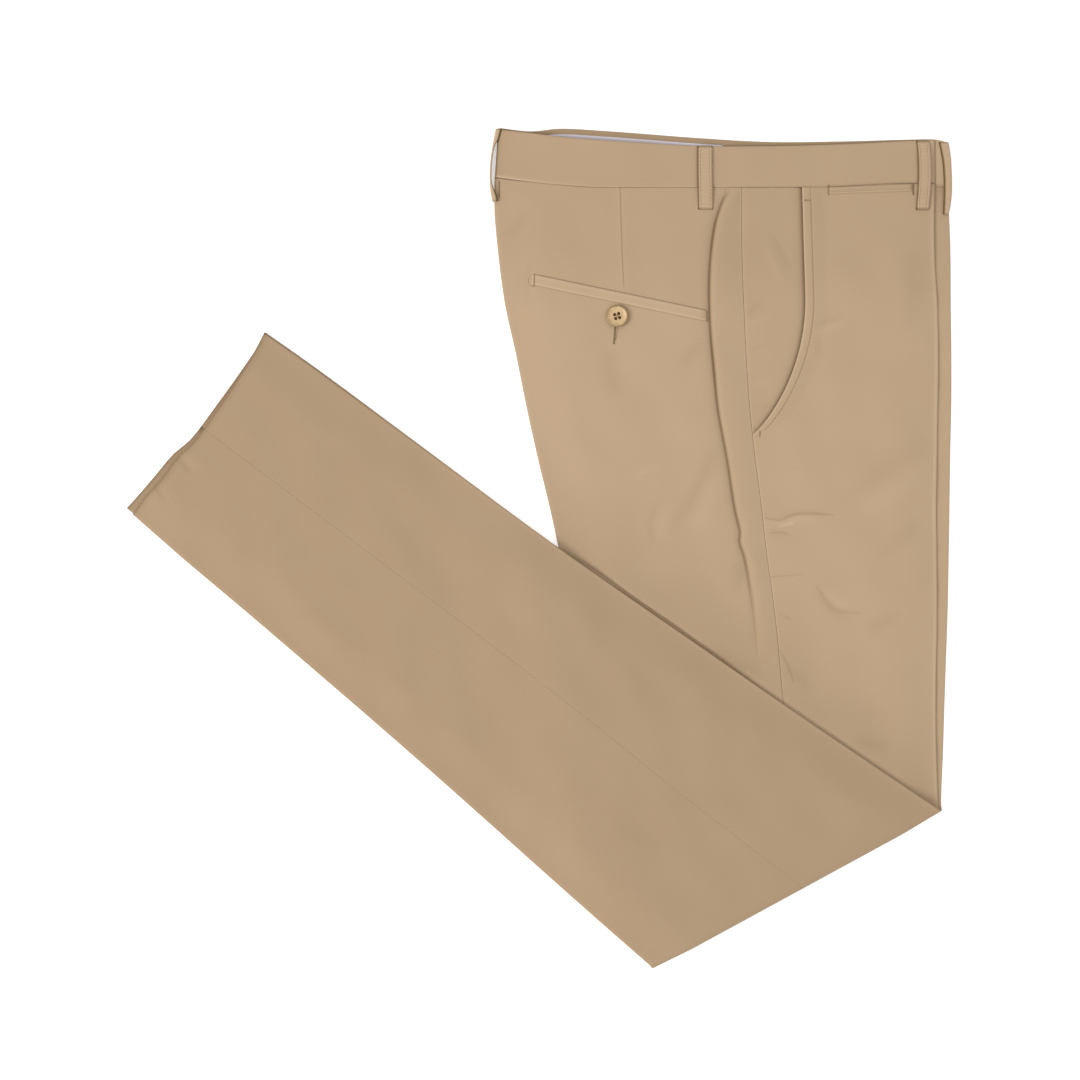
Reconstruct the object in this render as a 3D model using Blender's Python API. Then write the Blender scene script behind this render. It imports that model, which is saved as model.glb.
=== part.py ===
"""Chino trousers lying flat: the right leg on the left, both folded across the knee over the thighs.

Lengths are in millimetres until a mesh is made. X runs from the seat to the fly, Y from the knee to the
waist, Z up from the surface that the trousers lie on. The two legs make one stack. Its layers, from the
floor up over the thigh, are the left leg's outer panels, the hidden layers and the right leg's outer
panels. Past the knee fold the same layers lie upside down on the thigh, and then on the floor.
"""

import math
from collections import namedtuple

import bmesh
import bpy
from mathutils import Vector

MM = 0.001
TO_CENTRE = Vector((0.7, 2.1, 0.0))  # brings the middle of the outline to the origin

# Driving sizes
CLOTH = 1.1  # wall of a leg panel
GAP = 0.3  # clearance between pieces at seams
STACK = 5.0  # thickness of the two legs lying on each other
BAND = 2.0  # wall of the waistband, which is folded double
BAND_ROUND = 0.5  # radius of the fold along its top
LOOP = 1.3  # wall of a belt loop
RIM = 2.35  # how far an outer panel turns in at a crease
FOLD_Z = STACK + GAP / 2  # height of the knee fold's axis
FOLD_STEPS = 6  # facets of the knee fold
DRAPE_START = 12.0  # where the folded legs begin to sink beside the thigh
DRAPE_WIDTH = 90.0  # how far out they reach the floor
DRAPE_DROP = STACK + GAP
LIP_REST = 12.0  # least distance from the side fold's lip to the side seam
LIP_FOOT = 0.9  # the lip's step is this wide
LIP_EASE = 0.62  # share of the lip's rise that is left halfway to the seam
MOUTH_RISE = 1.2  # how far the pocket mouth's edge stands up
POCKET_TUCK = 0.9  # and how far the cloth stands up a little way behind it
MOUTH_FADE = (7.0, 18.0)  # where that is, and where the panel is flat again
MOUTH_OPENS = 12.0  # the edge stands up fully where the mouth is this far from the seam
HIDDEN = 1.4  # depth of the hidden layers under the outer face
HIDDEN_INSET = 1.45  # and from a crease
HIDDEN_HEM = 9.0  # the hidden layers end this far inside the hem
TUCKED = 1.2  # how far a lower leg's back crease lies inside the upper leg's
FOLD_STRIP = 3.0  # width of the left leg's strip on the outside of the knee fold

# The stack over the thigh, level by level: the back edge, side seam, front crease and the width of the
# left leg's strip that shows past the right leg's crease.
Level = namedtuple("Level", "y back seam crease strip")
LEVELS = (
    Level(294.8, -37.3, 165.6, 324.0, 11.0),
    Level(270.0, -37.5, 165.6, 323.8, 12.4),
    Level(239.0, -34.4, 165.8, 324.1, 13.2),
    Level(198.0, -28.7, 167.2, 326.4, 11.2),
    Level(157.0, -19.7, 169.2, 327.2, 10.9),
    Level(116.0, -11.5, 171.9, 326.7, 11.4),
    Level(75.0, -2.5, 176.2, 326.1, 11.2),
    Level(34.0, 7.4, 181.5, 325.4, 11.4),
    Level(1.2, 14.8, 185.1, 325.8, 10.6),
    Level(-60.0, 28.9, 193.2, 326.0, 9.3),
    Level(-121.8, 43.1, 199.0, 325.1, 8.2),
    Level(-171.0, 54.3, 203.8, 325.6, 6.2),
    Level(-214.0, 64.0, 208.6, 327.0, 3.0),
    Level(-343.2, 89.8, 221.0, 328.2, 3.0),
)
WAIST_Y = LEVELS[0].y
FOLD_BACK = Vector((89.8, -343.2))
FOLD_FRONT = Vector((327.0, -214.0))

# The folded legs from the knee to the hem: edges of the visible outline, and the side seam's place
# between them as a share of the width.
LOWER_EDGE = (
    (89.8, -343.2),
    (10.5, -273.8),
    (-105.0, -171.2),
    (-224.0, -68.5),
    (-292.6, -10.5),
    (-334.0, 25.8),
)
UPPER_EDGE = (
    (325.6, -214.6),
    (219.0, -142.5),
    (131.0, -81.6),
    (12.3, 1.2),
    (-110.3, 92.0),
    (-180.9, 144.3),
    (-224.9, 175.4),
)
Share = namedtuple("Share", "s seam under_out")
SHARES = (
    Share(0.0, 0.519, -0.8),
    Share(0.2, 0.522, 0.0),
    Share(0.35, 0.530, 1.8),
    Share(0.5, 0.530, 2.2),
    Share(0.6, 0.525, -0.8),
    Share(1.0, 0.494, -0.8),
)

# How far each leg's hem lies from the straight line between its corners, towards the knee, at shares of
# the width counted from the back crease.
HemPoint = namedtuple("HemPoint", "share left right")
HEM = (
    HemPoint(0.00, -0.8, -8.0),
    HemPoint(0.09, -0.8, -6.2),
    HemPoint(0.20, 2.5, -3.3),
    HemPoint(0.32, 1.8, -3.0),
    HemPoint(0.42, 5.0, 1.4),
    HemPoint(0.60, 5.8, 2.8),
    HemPoint(0.85, 2.6, 1.6),
    HemPoint(1.00, -1.4, 0.0),
)

# The side fold: the back panel bulges towards the seat beside the seam and ends in a lip.
Lip = namedtuple("Lip", "y x rise")
SIDE_FOLD = (
    Lip(294.8, 156.0, 0.0),
    Lip(284.0, 150.2, 1.1),
    Lip(259.5, 142.6, 1.5),
    Lip(235.0, 139.6, 1.6),
    Lip(210.0, 138.6, 1.6),
    Lip(177.5, 139.7, 1.6),
    Lip(144.7, 142.6, 1.6),
    Lip(112.0, 146.0, 1.6),
    Lip(71.0, 153.5, 1.5),
    Lip(30.0, 159.8, 1.4),
    Lip(-8.6, 167.6, 1.2),
    Lip(-52.0, 175.3, 0.8),
    Lip(-100.0, 181.5, 0.0),
    Lip(-343.2, 209.0, 0.0),
)

# The pocket mouth: nearly straight down from the waist, then a blunt curve into the side seam.
MOUTH_TOP_X = 214.8
MOUTH_X = 217.6
MOUTH_BEND_Y = 202.1
MOUTH_END_Y = 92.3
MOUTH_CURVE = 1.2  # an ellipse has 2; less brings the mouth's foot in on a slant

# Waistband edges along X: the tops of both halves, and the centre back edge's slant.
BandTop = namedtuple("BandTop", "x right left")
BAND_TOPS = (
    BandTop(-34.4, 341.6, 343.6),
    BandTop(-8.2, 339.0, 341.0),
    BandTop(16.4, 335.8, 343.2),
    BandTop(49.0, 333.0, 341.6),
    BandTop(82.0, 331.0, 339.2),
    BandTop(131.2, 328.4, 335.4),
    BandTop(188.6, 328.4, 332.3),
    BandTop(250.0, 330.0, 332.8),
    BandTop(302.0, 332.6, 334.2),
    BandTop(324.0, 333.2, 334.2),
    BandTop(334.2, 332.6, 331.6),
)
BAND_BACK_TOP = -34.4
BAND_BACK_FOOT = -37.0
RIGHT_BAND_FRONT = 324.0
LEFT_BAND_FRONT = 334.2
RIGHT_BAND_Z = 3.6
ARCH_X = 49.0
ARCH_REACH = 95.0
ARCH_RISE = 2.4
LINING_Z = BAND + GAP
LINING_SPAN = (4.0, 150.0)
LINING_WALL = 1.0
LINING_INSET = 4.7
LINING_DEPTH = 24.0
LINING_COLUMNS = 8
SHORT_SPAN = 12.0  # waistband columns closer than this get none between them
BACK_RISE = 8.4  # the waist seam rises this much at the centre back
BACK_RISE_REACH = 90.0
FRONT_RISE = 3.5  # and this much at the front
FRONT_RISE_FROM = 222.0
FRONT_RISE_REACH = 84.0
RISE_ROWS = 0.1  # share of the thigh's length over which the rows below straighten
BAND_SLANT_REACH = 30.0  # the centre back edge's slant is gone this far along the band

# Button
BUTTON_AT = (63.3, 188.8)
BUTTON_RADIUS = 9.2
BUTTON_HEIGHT = 2.6
BUTTON_HOLE_RADIUS = 0.95
BUTTON_HOLE_OFFSET = 1.75
BUTTON_SIDES = 28
BUTTON_HOLE_SIDES = 10
# Its turned profile from the middle of the back round to the middle of the front: shares of the radius
# and of the height.
BUTTON_PROFILE = (
    (0.0, 0.0),
    (0.72, 0.0),
    (0.96, 0.35),
    (1.0, 0.62),
    (0.93, 0.95),
    (0.80, 1.0),
    (0.62, 0.70),
    (0.0, 0.62),
)

# Colours, as the shader's linear values
CLOTH_COLOUR = (0.479, 0.347, 0.223, 1.0)
FACING_COLOUR = (0.468, 0.338, 0.216, 1.0)
LINING_COLOUR = (0.800, 0.780, 0.760, 1.0)
BUTTON_COLOUR = (0.610, 0.440, 0.270, 1.0)


def between(low, high, share):
    return low + (high - low) * share


def smooth_step(share):
    share = min(1.0, max(0.0, share))
    return share * share * (3 - 2 * share)


def read_curve(points, at):
    """A smooth curve through (at, value) pairs in rising order, with a cubic between neighbours."""
    if at <= points[0][0]:
        return points[0][1]
    if at >= points[-1][0]:
        return points[-1][1]
    last = len(points) - 1
    i = next(n for n in range(last) if points[n + 1][0] >= at)

    def slope(n):
        before = points[max(n - 1, 0)]
        after = points[min(n + 1, last)]
        return (after[1] - before[1]) / (after[0] - before[0])

    width = points[i + 1][0] - points[i][0]
    t = (at - points[i][0]) / width
    start = points[i][1]
    end = points[i + 1][1]
    push = slope(i) * width
    pull = slope(i + 1) * width
    return (
        (2 * t**3 - 3 * t**2 + 1) * start
        + (t**3 - 2 * t**2 + t) * push
        + (3 * t**2 - 2 * t**3) * end
        + (t**3 - t**2) * pull
    )


def column_of(table, key, name):
    """Pairs of two of a table's columns, in rising order of the first."""
    return sorted((getattr(row, key), getattr(row, name)) for row in table)


LEVEL_CURVES = {name: column_of(LEVELS, "y", name) for name in ("back", "seam", "crease", "strip")}
LIP_CURVE = column_of(SIDE_FOLD, "y", "x")
LIP_RISE = column_of(SIDE_FOLD, "y", "rise")


def mouth_x(y):
    """Where the pocket mouth's edge lies at a level."""
    if y >= MOUTH_BEND_Y:
        return between(MOUTH_X, MOUTH_TOP_X, (y - MOUTH_BEND_Y) / (WAIST_Y - MOUTH_BEND_Y))
    foot = read_curve(LEVEL_CURVES["seam"], MOUTH_END_Y)
    down = (MOUTH_BEND_Y - y) / (MOUTH_BEND_Y - MOUTH_END_Y)
    return foot + (MOUTH_X - foot) * max(0.0, 1 - down * down) ** (1 / MOUTH_CURVE)


def waist_rise(x):
    """How far the waist seam lies above a straight line, at its two ends."""
    back = BACK_RISE * max(0.0, 1 - (x - LEVELS[0].back) / BACK_RISE_REACH) ** 1.5
    return back + FRONT_RISE * smooth_step((x - FRONT_RISE_FROM) / FRONT_RISE_REACH)


def along_line(points, share):
    """The point at a share of a polyline's length."""
    vectors = [Vector(point) for point in points]
    lengths = [(b - a).length for a, b in zip(vectors, vectors[1:])]
    left = share * sum(lengths)
    for start, end, length in zip(vectors, vectors[1:], lengths):
        if left <= length:
            return start.lerp(end, left / length)
        left -= length
    return vectors[-1]


# A row runs across the stack from the back edge to the front crease. Its turn is 0 on the thigh, rises to
# pi round the knee fold and stays pi on the folded legs.
Row = namedtuple("Row", "start along length turn seam lip rise mouth strip under bow hem")
FOLD_ALONG = (FOLD_FRONT - FOLD_BACK).normalized()
FOLD_OUT = Vector((FOLD_ALONG.y, -FOLD_ALONG.x))


def crossing(start, along, curve):
    """How far along a row it meets a curve x(y)."""
    distance = 0.0
    for _ in range(12):
        point = start + along * distance
        distance += (curve(point.y) - point.x) / along.x
    return distance


def thigh_row(t):
    back_y = between(WAIST_Y, FOLD_BACK.y, t)
    front_y = between(WAIST_Y, FOLD_FRONT.y, t)
    start = Vector((read_curve(LEVEL_CURVES["back"], back_y), back_y))
    end = Vector((read_curve(LEVEL_CURVES["crease"], front_y), front_y))
    along = (end - start).normalized()
    seam = crossing(start, along, lambda y: read_curve(LEVEL_CURVES["seam"], y))
    lip = min(crossing(start, along, lambda y: read_curve(LIP_CURVE, y)), seam - LIP_REST)
    lip_y = (start + along * lip).y
    mouth = crossing(start, along, mouth_x) if t < MOUTH_ROWS[-1] else seam
    return Row(
        start=start,
        along=along,
        length=(end - start).length,
        turn=0.0,
        seam=seam,
        lip=lip,
        rise=read_curve(LIP_RISE, lip_y),
        mouth=max(mouth, seam),
        strip=read_curve(LEVEL_CURVES["strip"], front_y),
        under=0.0,
        bow=max(0.0, 1 - t / RISE_ROWS),
        hem=False,
    )


def over_row(s, turn=math.pi, hem=False):
    start = along_line(LOWER_EDGE, s)
    end = FOLD_FRONT.lerp(along_line(UPPER_EDGE, s), turn / math.pi)
    length = (end - start).length
    seam = length * read_curve([(row.s, row.seam) for row in SHARES], s)
    return Row(
        start=start,
        along=(end - start).normalized(),
        length=length,
        turn=turn,
        seam=seam,
        lip=seam - LIP_REST,
        rise=0.0,
        mouth=seam,
        strip=FOLD_STRIP * (turn < math.pi),
        under=read_curve([(row.s, row.under_out) for row in SHARES], s) * smooth_step(turn / math.pi),
        bow=0.0,
        hem=hem,
    )


MOUTH_ROWS = (0.0, 0.045, 0.09, 0.135, 0.18, 0.22, 0.255, 0.285, 0.309, 0.328, 0.342, 0.3515, 0.3575)
THIGH_ROWS = MOUTH_ROWS + (0.42, 0.5, 0.6, 0.72, 0.86, 1.0)
OVER_ROWS = (0.0, 0.03, 0.065, 0.105, 0.15, 0.2, 0.26, 0.32, 0.38)
OVER_ROWS += (0.44, 0.5, 0.56, 0.63, 0.72, 0.83, 0.93, 0.97)


def all_rows():
    rows = [thigh_row(t) for t in THIGH_ROWS]
    rows += [over_row(0.0, math.pi * n / FOLD_STEPS) for n in range(1, FOLD_STEPS)]
    rows += [over_row(s) for s in OVER_ROWS]
    rows.append(over_row(1.0, hem=True))
    return rows


THIGH_BACK_TOP = Vector((14.8, 1.2))
THIGH_EDGE = (FOLD_BACK - THIGH_BACK_TOP).normalized()


def drape(point):
    """How far the folded legs have sunk at a point beside the thigh."""
    away = (point - THIGH_BACK_TOP).cross(THIGH_EDGE)
    return DRAPE_DROP * smooth_step((away - DRAPE_START) / DRAPE_WIDTH)


def place(row, distance, z, leg):
    """A point of the stack: how far along the row, and how high in the unfolded stack."""
    flat = row.start + row.along * distance
    if row.bow:
        flat.y += row.bow * waist_rise(flat.x)
    if row.hem:
        across = Vector((row.along.y, -row.along.x))
        share = distance / row.length
        left = read_curve([(p.share, p.left) for p in HEM], share)
        right = read_curve([(p.share, p.right) for p in HEM], share)
        shift = {"left": left, "right": right, "hidden": (left + right) / 2 + HIDDEN_HEM}[leg]
        flat += across * shift
    radius = FOLD_Z - z
    flat += FOLD_OUT * radius * math.sin(row.turn)
    height = FOLD_Z - radius * math.cos(row.turn)
    if row.turn == math.pi:
        height -= drape(row.start + row.along * distance)
    return Vector((flat.x, flat.y, height))


# A panel's turned-in rim: how far in from the crease, and how deep below the outer face.
RIM_OUTER = ((0.0, RIM), (0.0, 1.5), (0.35, 0.75), (1.2, 0.18), (3.0, 0.0))
RIM_INNER = ((1.1, RIM), (1.1, 1.75), (1.2, 1.5), (1.45, 1.25), (3.0, CLOTH))
RIM_REACH = 3.0
BACK_SHARES = (0.25, 0.5, 0.75)
FRONT_SHARES = (0.4, 0.7)


def back_columns(row):
    """Distances along a row, from the crease's rim to the side seam, and how far the face is raised."""
    lip_foot = row.lip - LIP_FOOT
    columns = [(between(RIM_REACH, lip_foot, share), 0.0) for share in BACK_SHARES]
    columns.append((lip_foot, 0.0))
    columns.append((row.lip, row.rise))
    columns.append(((row.lip + row.seam) / 2, row.rise * LIP_EASE))
    columns.append((row.seam - GAP / 2, 0.0))
    return columns


def front_columns(row, mouth):
    """The same from the side seam, or the pocket mouth, to the front crease's rim."""
    edge = (row.mouth if mouth else row.seam) + GAP / 2
    open_share = min(1.0, (row.mouth - row.seam) / MOUTH_OPENS) if mouth else 0.0
    columns = [(edge, MOUTH_RISE * open_share)]
    columns.append((edge + MOUTH_FADE[0], POCKET_TUCK * open_share))
    columns.append((edge + MOUTH_FADE[1], 0.0))
    reach = row.length - RIM_REACH
    columns += [(between(edge + MOUTH_FADE[1], reach, share), 0.0) for share in FRONT_SHARES]
    return columns


def panel_section(row, leg, side, raised):
    """One closed section of an outer leg panel."""
    strip = 0.0
    if side == "back":
        columns = back_columns(row)
        edge = TUCKED if (leg == "left") == (row.turn == 0) else 0.0
        inward = 1
    else:
        columns = front_columns(row, raised)[::-1]
        strip = row.strip if leg == "left" else row.under
        edge = row.length + strip
        inward = -1
    solid = max(0.0, strip)
    outer = [(edge + inward * across, depth) for across, depth in RIM_OUTER]
    inner = [(edge + inward * (across + solid), depth) for across, depth in RIM_INNER]
    outer += [(distance, -rise if raised else 0.0) for distance, rise in columns]
    inner += [(distance, CLOTH) for distance, _ in columns]
    loop = outer + inner[::-1]
    return [(d, STACK - depth if leg == "right" else depth) for d, depth in loop]


HIDDEN_RIM = ((3.2, 2.38), (HIDDEN_INSET, 2.2), (HIDDEN_INSET, 1.95), (1.9, 1.5), (RIM_REACH, HIDDEN))


def hidden_section(row):
    """One closed section of the hidden layers, with a groove between the two legs all round."""
    columns = [d for d, _ in back_columns(row)[:-1]]
    columns.append(row.seam)
    columns += [d for d, _ in front_columns(row, False)[1:]]
    front = row.length + min(0.0, row.under)
    low = [(d + TUCKED, z) for d, z in HIDDEN_RIM]
    low += [(d, HIDDEN) for d in columns]
    low += [(front - d, z) for d, z in HIDDEN_RIM[::-1]]
    high = [(d, STACK - z) for d, z in low]
    return high + low[::-1]


def material(name, colour, roughness):
    made = bpy.data.materials.new(name)
    made.use_nodes = True
    shader = made.node_tree.nodes["Principled BSDF"]
    shader.inputs["Base Color"].default_value = colour
    shader.inputs["Roughness"].default_value = roughness
    shader.inputs["Metallic"].default_value = 0.0
    made.diffuse_color = colour
    return made


def add_object(name, mesh_data, colour, roughness=0.85):
    """Puts a bmesh in millimetres into the scene as one object with its own material."""
    for vertex in mesh_data.verts:
        vertex.co = (vertex.co + TO_CENTRE) * MM
    bmesh.ops.recalc_face_normals(mesh_data, faces=mesh_data.faces)
    mesh = bpy.data.meshes.new(name)
    mesh_data.to_mesh(mesh)
    mesh_data.free()
    mesh.materials.append(material(name, colour, roughness))
    part = bpy.data.objects.new(name, mesh)
    bpy.context.scene.collection.objects.link(part)
    return part


def close_end(mesh_data, ring, rim):
    """Closes an end of the stack: quads between its two faces, and fans round a layered rim's groove."""
    half = len(ring) // 2
    high = ring[:half]
    low = ring[: half - 1 : -1]
    for n in range(rim, half - 1 - rim):
        mesh_data.faces.new((high[n], high[n + 1], low[n + 1], low[n]))
    if not rim:
        return
    for start, step in ((0, 1), (half - 1, -1)):
        for face in (high, low):
            for n in range(1, rim):
                mesh_data.faces.new((face[start], face[start + step * n], face[start + step * (n + 1)]))
        inside = start + step * rim
        mesh_data.faces.new((high[start], high[inside], low[inside], low[start]))


def skin(mesh_data, rings, crossed):
    """Joins rings of points by triangles. Where crossed is true, a quad is split the other way."""
    count = len(rings[0])
    for ring, following in zip(rings, rings[1:]):
        for i in range(count):
            j = (i + 1) % count
            if crossed[i]:
                mesh_data.faces.new((ring[i], ring[j], following[i]))
                mesh_data.faces.new((ring[j], following[j], following[i]))
            else:
                mesh_data.faces.new((ring[i], ring[j], following[j]))
                mesh_data.faces.new((ring[i], following[j], following[i]))


def loft(name, sections, colour):
    """A closed solid through sections of equal count, with flat ends."""
    mesh_data = bmesh.new()
    rings = [[mesh_data.verts.new(point) for point in section] for section in sections]
    skin(mesh_data, rings, [False] * len(rings[0]))
    mesh_data.faces.new(rings[0])
    mesh_data.faces.new(rings[-1])
    return add_object(name, mesh_data, colour)


def stack_piece(name, rows, sections, leg, rim=0, colour=CLOTH_COLOUR):
    """A piece of the stack. Its quads are split alike on both faces, so nested walls stay parallel."""
    mesh_data = bmesh.new()
    rings = []
    for row, section in zip(rows, sections):
        rings.append([mesh_data.verts.new(place(row, d, z, leg)) for d, z in section])
    last = sections[-1]
    crossed = [last[(i + 1) % len(last)][0] < last[i][0] for i in range(len(last))]
    skin(mesh_data, rings, crossed)
    close_end(mesh_data, rings[0], rim)
    close_end(mesh_data, rings[-1], rim)
    return add_object(name, mesh_data, colour)


def leg_panels():
    rows = all_rows()
    for leg in ("right", "left"):
        for side in ("back", "front"):
            sections = [panel_section(row, leg, side, leg == "right") for row in rows]
            stack_piece(f"{leg}_{side}_panel", rows, sections, leg)


def hidden_layers():
    rows = [thigh_row(0.02)] + all_rows()[1:]
    rim = len(HIDDEN_RIM) - 1
    stack_piece("hidden_layers", rows, [hidden_section(row) for row in rows], "hidden", rim)


def pocket_facing():
    """The cloth behind the pocket mouth, one wall lower than the raised edge."""
    rows = [thigh_row(t) for t in MOUTH_ROWS[:-1]]
    sections = []
    for row in rows:
        near = row.seam + GAP / 2
        far = row.mouth - GAP / 2
        columns = (near, between(near, far, 0.5), far)
        high = [(d, STACK) for d in columns]
        sections.append(high + [(d, STACK - CLOTH) for d in columns[::-1]])
    stack_piece("right_pocket_facing", rows, sections, "right", colour=FACING_COLOUR)


def arch(x, share):
    """The right half of the waistband stands up in the middle of its top edge."""
    reach = max(0.0, 1 - ((x - ARCH_X) / ARCH_REACH) ** 2)
    return ARCH_RISE * reach * reach * share * share


def band_stations(front):
    """Where the waistband is cut: at the columns of the panels below it, and halfway between them."""
    row = thigh_row(0.0)
    columns = [d for d, _ in back_columns(row) + front_columns(row, True)]
    reach = front - row.start.x
    feet = [place(row, d, 0.0, "hidden") for d in [0.0, RIM_REACH] + columns + [reach]]
    feet[0].x = BAND_BACK_FOOT
    stations = []
    for foot, following in zip(feet, feet[1:]):
        stations += [foot, (foot + following) / 2] if (following - foot).length > SHORT_SPAN else [foot]
    return stations + feet[-1:]


def band_section(foot, top, low, arched):
    """A section across the waistband: a double wall with a rounded fold at the top."""
    x = foot.x
    bottom = foot.y + GAP
    height = top - bottom
    shoulder = 1 - BAND_ROUND / height
    band_slant = BAND_BACK_TOP - BAND_BACK_FOOT
    outline = ((0.0, 0.0), (0.5, 0.0), (shoulder, 0.0), (1.0, BAND_ROUND), (1.0, BAND - BAND_ROUND))
    outline += ((shoulder, BAND), (0.5, BAND), (0.0, BAND))
    points = []
    for share, z in outline:
        slant = band_slant * share * max(0.0, 1 - (x - BAND_BACK_FOOT) / BAND_SLANT_REACH)
        lift = arch(x, share) if arched else 0.0
        points.append(Vector((x + slant, bottom + height * share, low + z + lift)))
    return points


def waistbands():
    for side, front, low in (("right", RIGHT_BAND_FRONT, RIGHT_BAND_Z), ("left", LEFT_BAND_FRONT, 0.0)):
        tops = column_of(BAND_TOPS, "x", side)
        stations = band_stations(front)
        sections = [band_section(foot, read_curve(tops, foot.x), low, side == "right") for foot in stations]
        loft(f"{side}_waistband", sections, CLOTH_COLOUR)


def waistband_lining():
    """The strip of white lining sewn inside the left half of the waistband."""
    tops = column_of(BAND_TOPS, "x", "left")
    sections = []
    for n in range(LINING_COLUMNS):
        x = between(*LINING_SPAN, n / (LINING_COLUMNS - 1))
        top = read_curve(tops, x) - LINING_INSET
        sections.append(
            [
                Vector((x, top, LINING_Z)),
                Vector((x, top, LINING_Z + LINING_WALL)),
                Vector((x, top - LINING_DEPTH, LINING_Z + LINING_WALL)),
                Vector((x, top - LINING_DEPTH, LINING_Z)),
            ]
        )
    loft("waistband_lining", sections, LINING_COLOUR)


# Belt loops that lie on the band: stations from the top end to the foot.
Station = namedtuple("Station", "x y z")
BAND_TOP_Z = RIGHT_BAND_Z + BAND + GAP
SIDE_LOOP = (
    Station(135.2, 328.6, BAND_TOP_Z),
    Station(135.2, 324.5, BAND_TOP_Z + 0.1),
    Station(135.2, 315.0, BAND_TOP_Z + 0.4),
    Station(135.3, 303.0, BAND_TOP_Z + 0.6),
    Station(135.5, 292.0, BAND_TOP_Z + 0.5),
    Station(135.6, 283.0, BAND_TOP_Z + 0.2),
    Station(135.7, 276.0, BAND_TOP_Z + 0.1),
)
FRONT_LOOP = (
    Station(313.5, 332.8, BAND_TOP_Z),
    Station(314.2, 328.5, BAND_TOP_Z + 0.1),
    Station(315.0, 318.0, BAND_TOP_Z + 0.3),
    Station(315.2, 305.5, BAND_TOP_Z + 0.4),
    Station(314.8, 293.0, BAND_TOP_Z + 0.3),
    Station(313.9, 283.0, BAND_TOP_Z),
    Station(313.6, 276.0, BAND_TOP_Z - 0.2),
)
SIDE_LOOP_WIDTH = 12.4
FRONT_LOOP_WIDTH = 10.6
LOOP_ROUND = 0.4


def flat_loop(name, stations, width):
    """A belt loop that stands off the band between its two ends."""
    sections = []
    for station in stations:
        x0 = station.x - width / 2
        x1 = station.x + width / 2
        shoulder = LOOP - LOOP_ROUND
        outline = ((x0, 0.0), (x1, 0.0), (x1, shoulder))
        outline += ((x1 - LOOP_ROUND, LOOP), (x0 + LOOP_ROUND, LOOP), (x0, shoulder))
        sections.append([Vector((x, station.y, station.z + z)) for x, z in outline])
    loft(name, sections, CLOTH_COLOUR)


# Belt loops that wrap an edge: the place of the strip's outer face past the edge, its inner end and the
# level of its underside on the band.
Wrap = namedtuple("Wrap", "y out inner z")
WRAP_BEND = 1.2
WRAP_INNER_BEND = 0.4
BACK_LOOP = (
    Wrap(342.4, -36.9, -31.2, BAND_TOP_Z),
    Wrap(334.0, -38.5, -33.2, BAND_TOP_Z + 0.3),
    Wrap(323.6, -40.2, -35.6, BAND_TOP_Z + 0.8),
    Wrap(307.9, -41.5, -36.6, BAND_TOP_Z + 0.9),
    Wrap(300.1, -41.5, -36.4, BAND_TOP_Z + 0.8),
    Wrap(292.3, -41.0, -35.2, BAND_TOP_Z + 0.4),
    Wrap(283.0, -39.6, -34.4, BAND_TOP_Z),
)
LEFT_FRONT_LOOP = (
    Wrap(331.0, 335.9, 327.4, RIM + GAP),
    Wrap(320.0, 337.3, 328.5, RIM + GAP + 0.4),
    Wrap(307.5, 338.3, 329.8, RIM + GAP + 0.8),
    Wrap(293.0, 338.3, 330.9, RIM + GAP + 0.8),
    Wrap(282.0, 338.2, 331.0, RIM + GAP + 0.3),
    Wrap(272.7, 338.2, 331.2, RIM + GAP),
)


def wrapped_loop(name, stations, toward):
    """A belt loop over a folded edge: a flange on the band and a web beside the edge."""
    sections = []
    for station in stations:
        top = station.z + LOOP
        bend = WRAP_BEND * toward
        wall = LOOP * toward
        outline = (
            (station.inner, top),
            (station.out + bend, top),
            (station.out, top - WRAP_BEND),
            (station.out, 0.0),
            (station.out + wall, 0.0),
            (station.out + wall, station.z - WRAP_INNER_BEND),
            (station.out + wall + WRAP_INNER_BEND * toward, station.z),
            (station.inner, station.z),
        )
        sections.append([Vector((x, station.y, z)) for x, z in outline])
    loft(name, sections, CLOTH_COLOUR)


def belt_loops():
    flat_loop("belt_loop_right_side", SIDE_LOOP, SIDE_LOOP_WIDTH)
    flat_loop("belt_loop_right_front", FRONT_LOOP, FRONT_LOOP_WIDTH)
    wrapped_loop("belt_loop_centre_back", BACK_LOOP, 1)
    wrapped_loop("belt_loop_left_front", LEFT_FRONT_LOOP, -1)


# Welts: the ends of the opening's edge, the strip's height below it and its thickness.
WELT_LIFT = 1.1
WELT_SHARES = (0.6, 0.7)  # share of the lift at the free edge and at the sewn one
WELT_ROUND = 0.12  # the strip is thickest at this share of its height


def welt(name, left, right, height):
    """A narrow strip on a panel, rounded along its free upper edge."""
    start = Vector(left)
    end = Vector(right)
    down = Vector((0.0, -height))
    sections = []
    for share in (0.0, 0.5, 1.0):
        upper = start.lerp(end, share)
        lower = upper + down
        middle = upper + down * WELT_ROUND
        low = STACK + GAP
        sections.append(
            [
                Vector((*upper, low)),
                Vector((*upper, low + WELT_LIFT * WELT_SHARES[0])),
                Vector((*middle, low + WELT_LIFT)),
                Vector((*lower, low + WELT_LIFT * WELT_SHARES[1])),
                Vector((*lower, low)),
            ]
        )
    loft(name, sections, CLOTH_COLOUR)


def welts():
    welt("back_pocket_welt", (-6.6, 223.5), (136.4, 193.6), 9.0)
    welt("coin_pocket_welt", (236.2, 294.6), (305.0, 297.2), 5.8)


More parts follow.
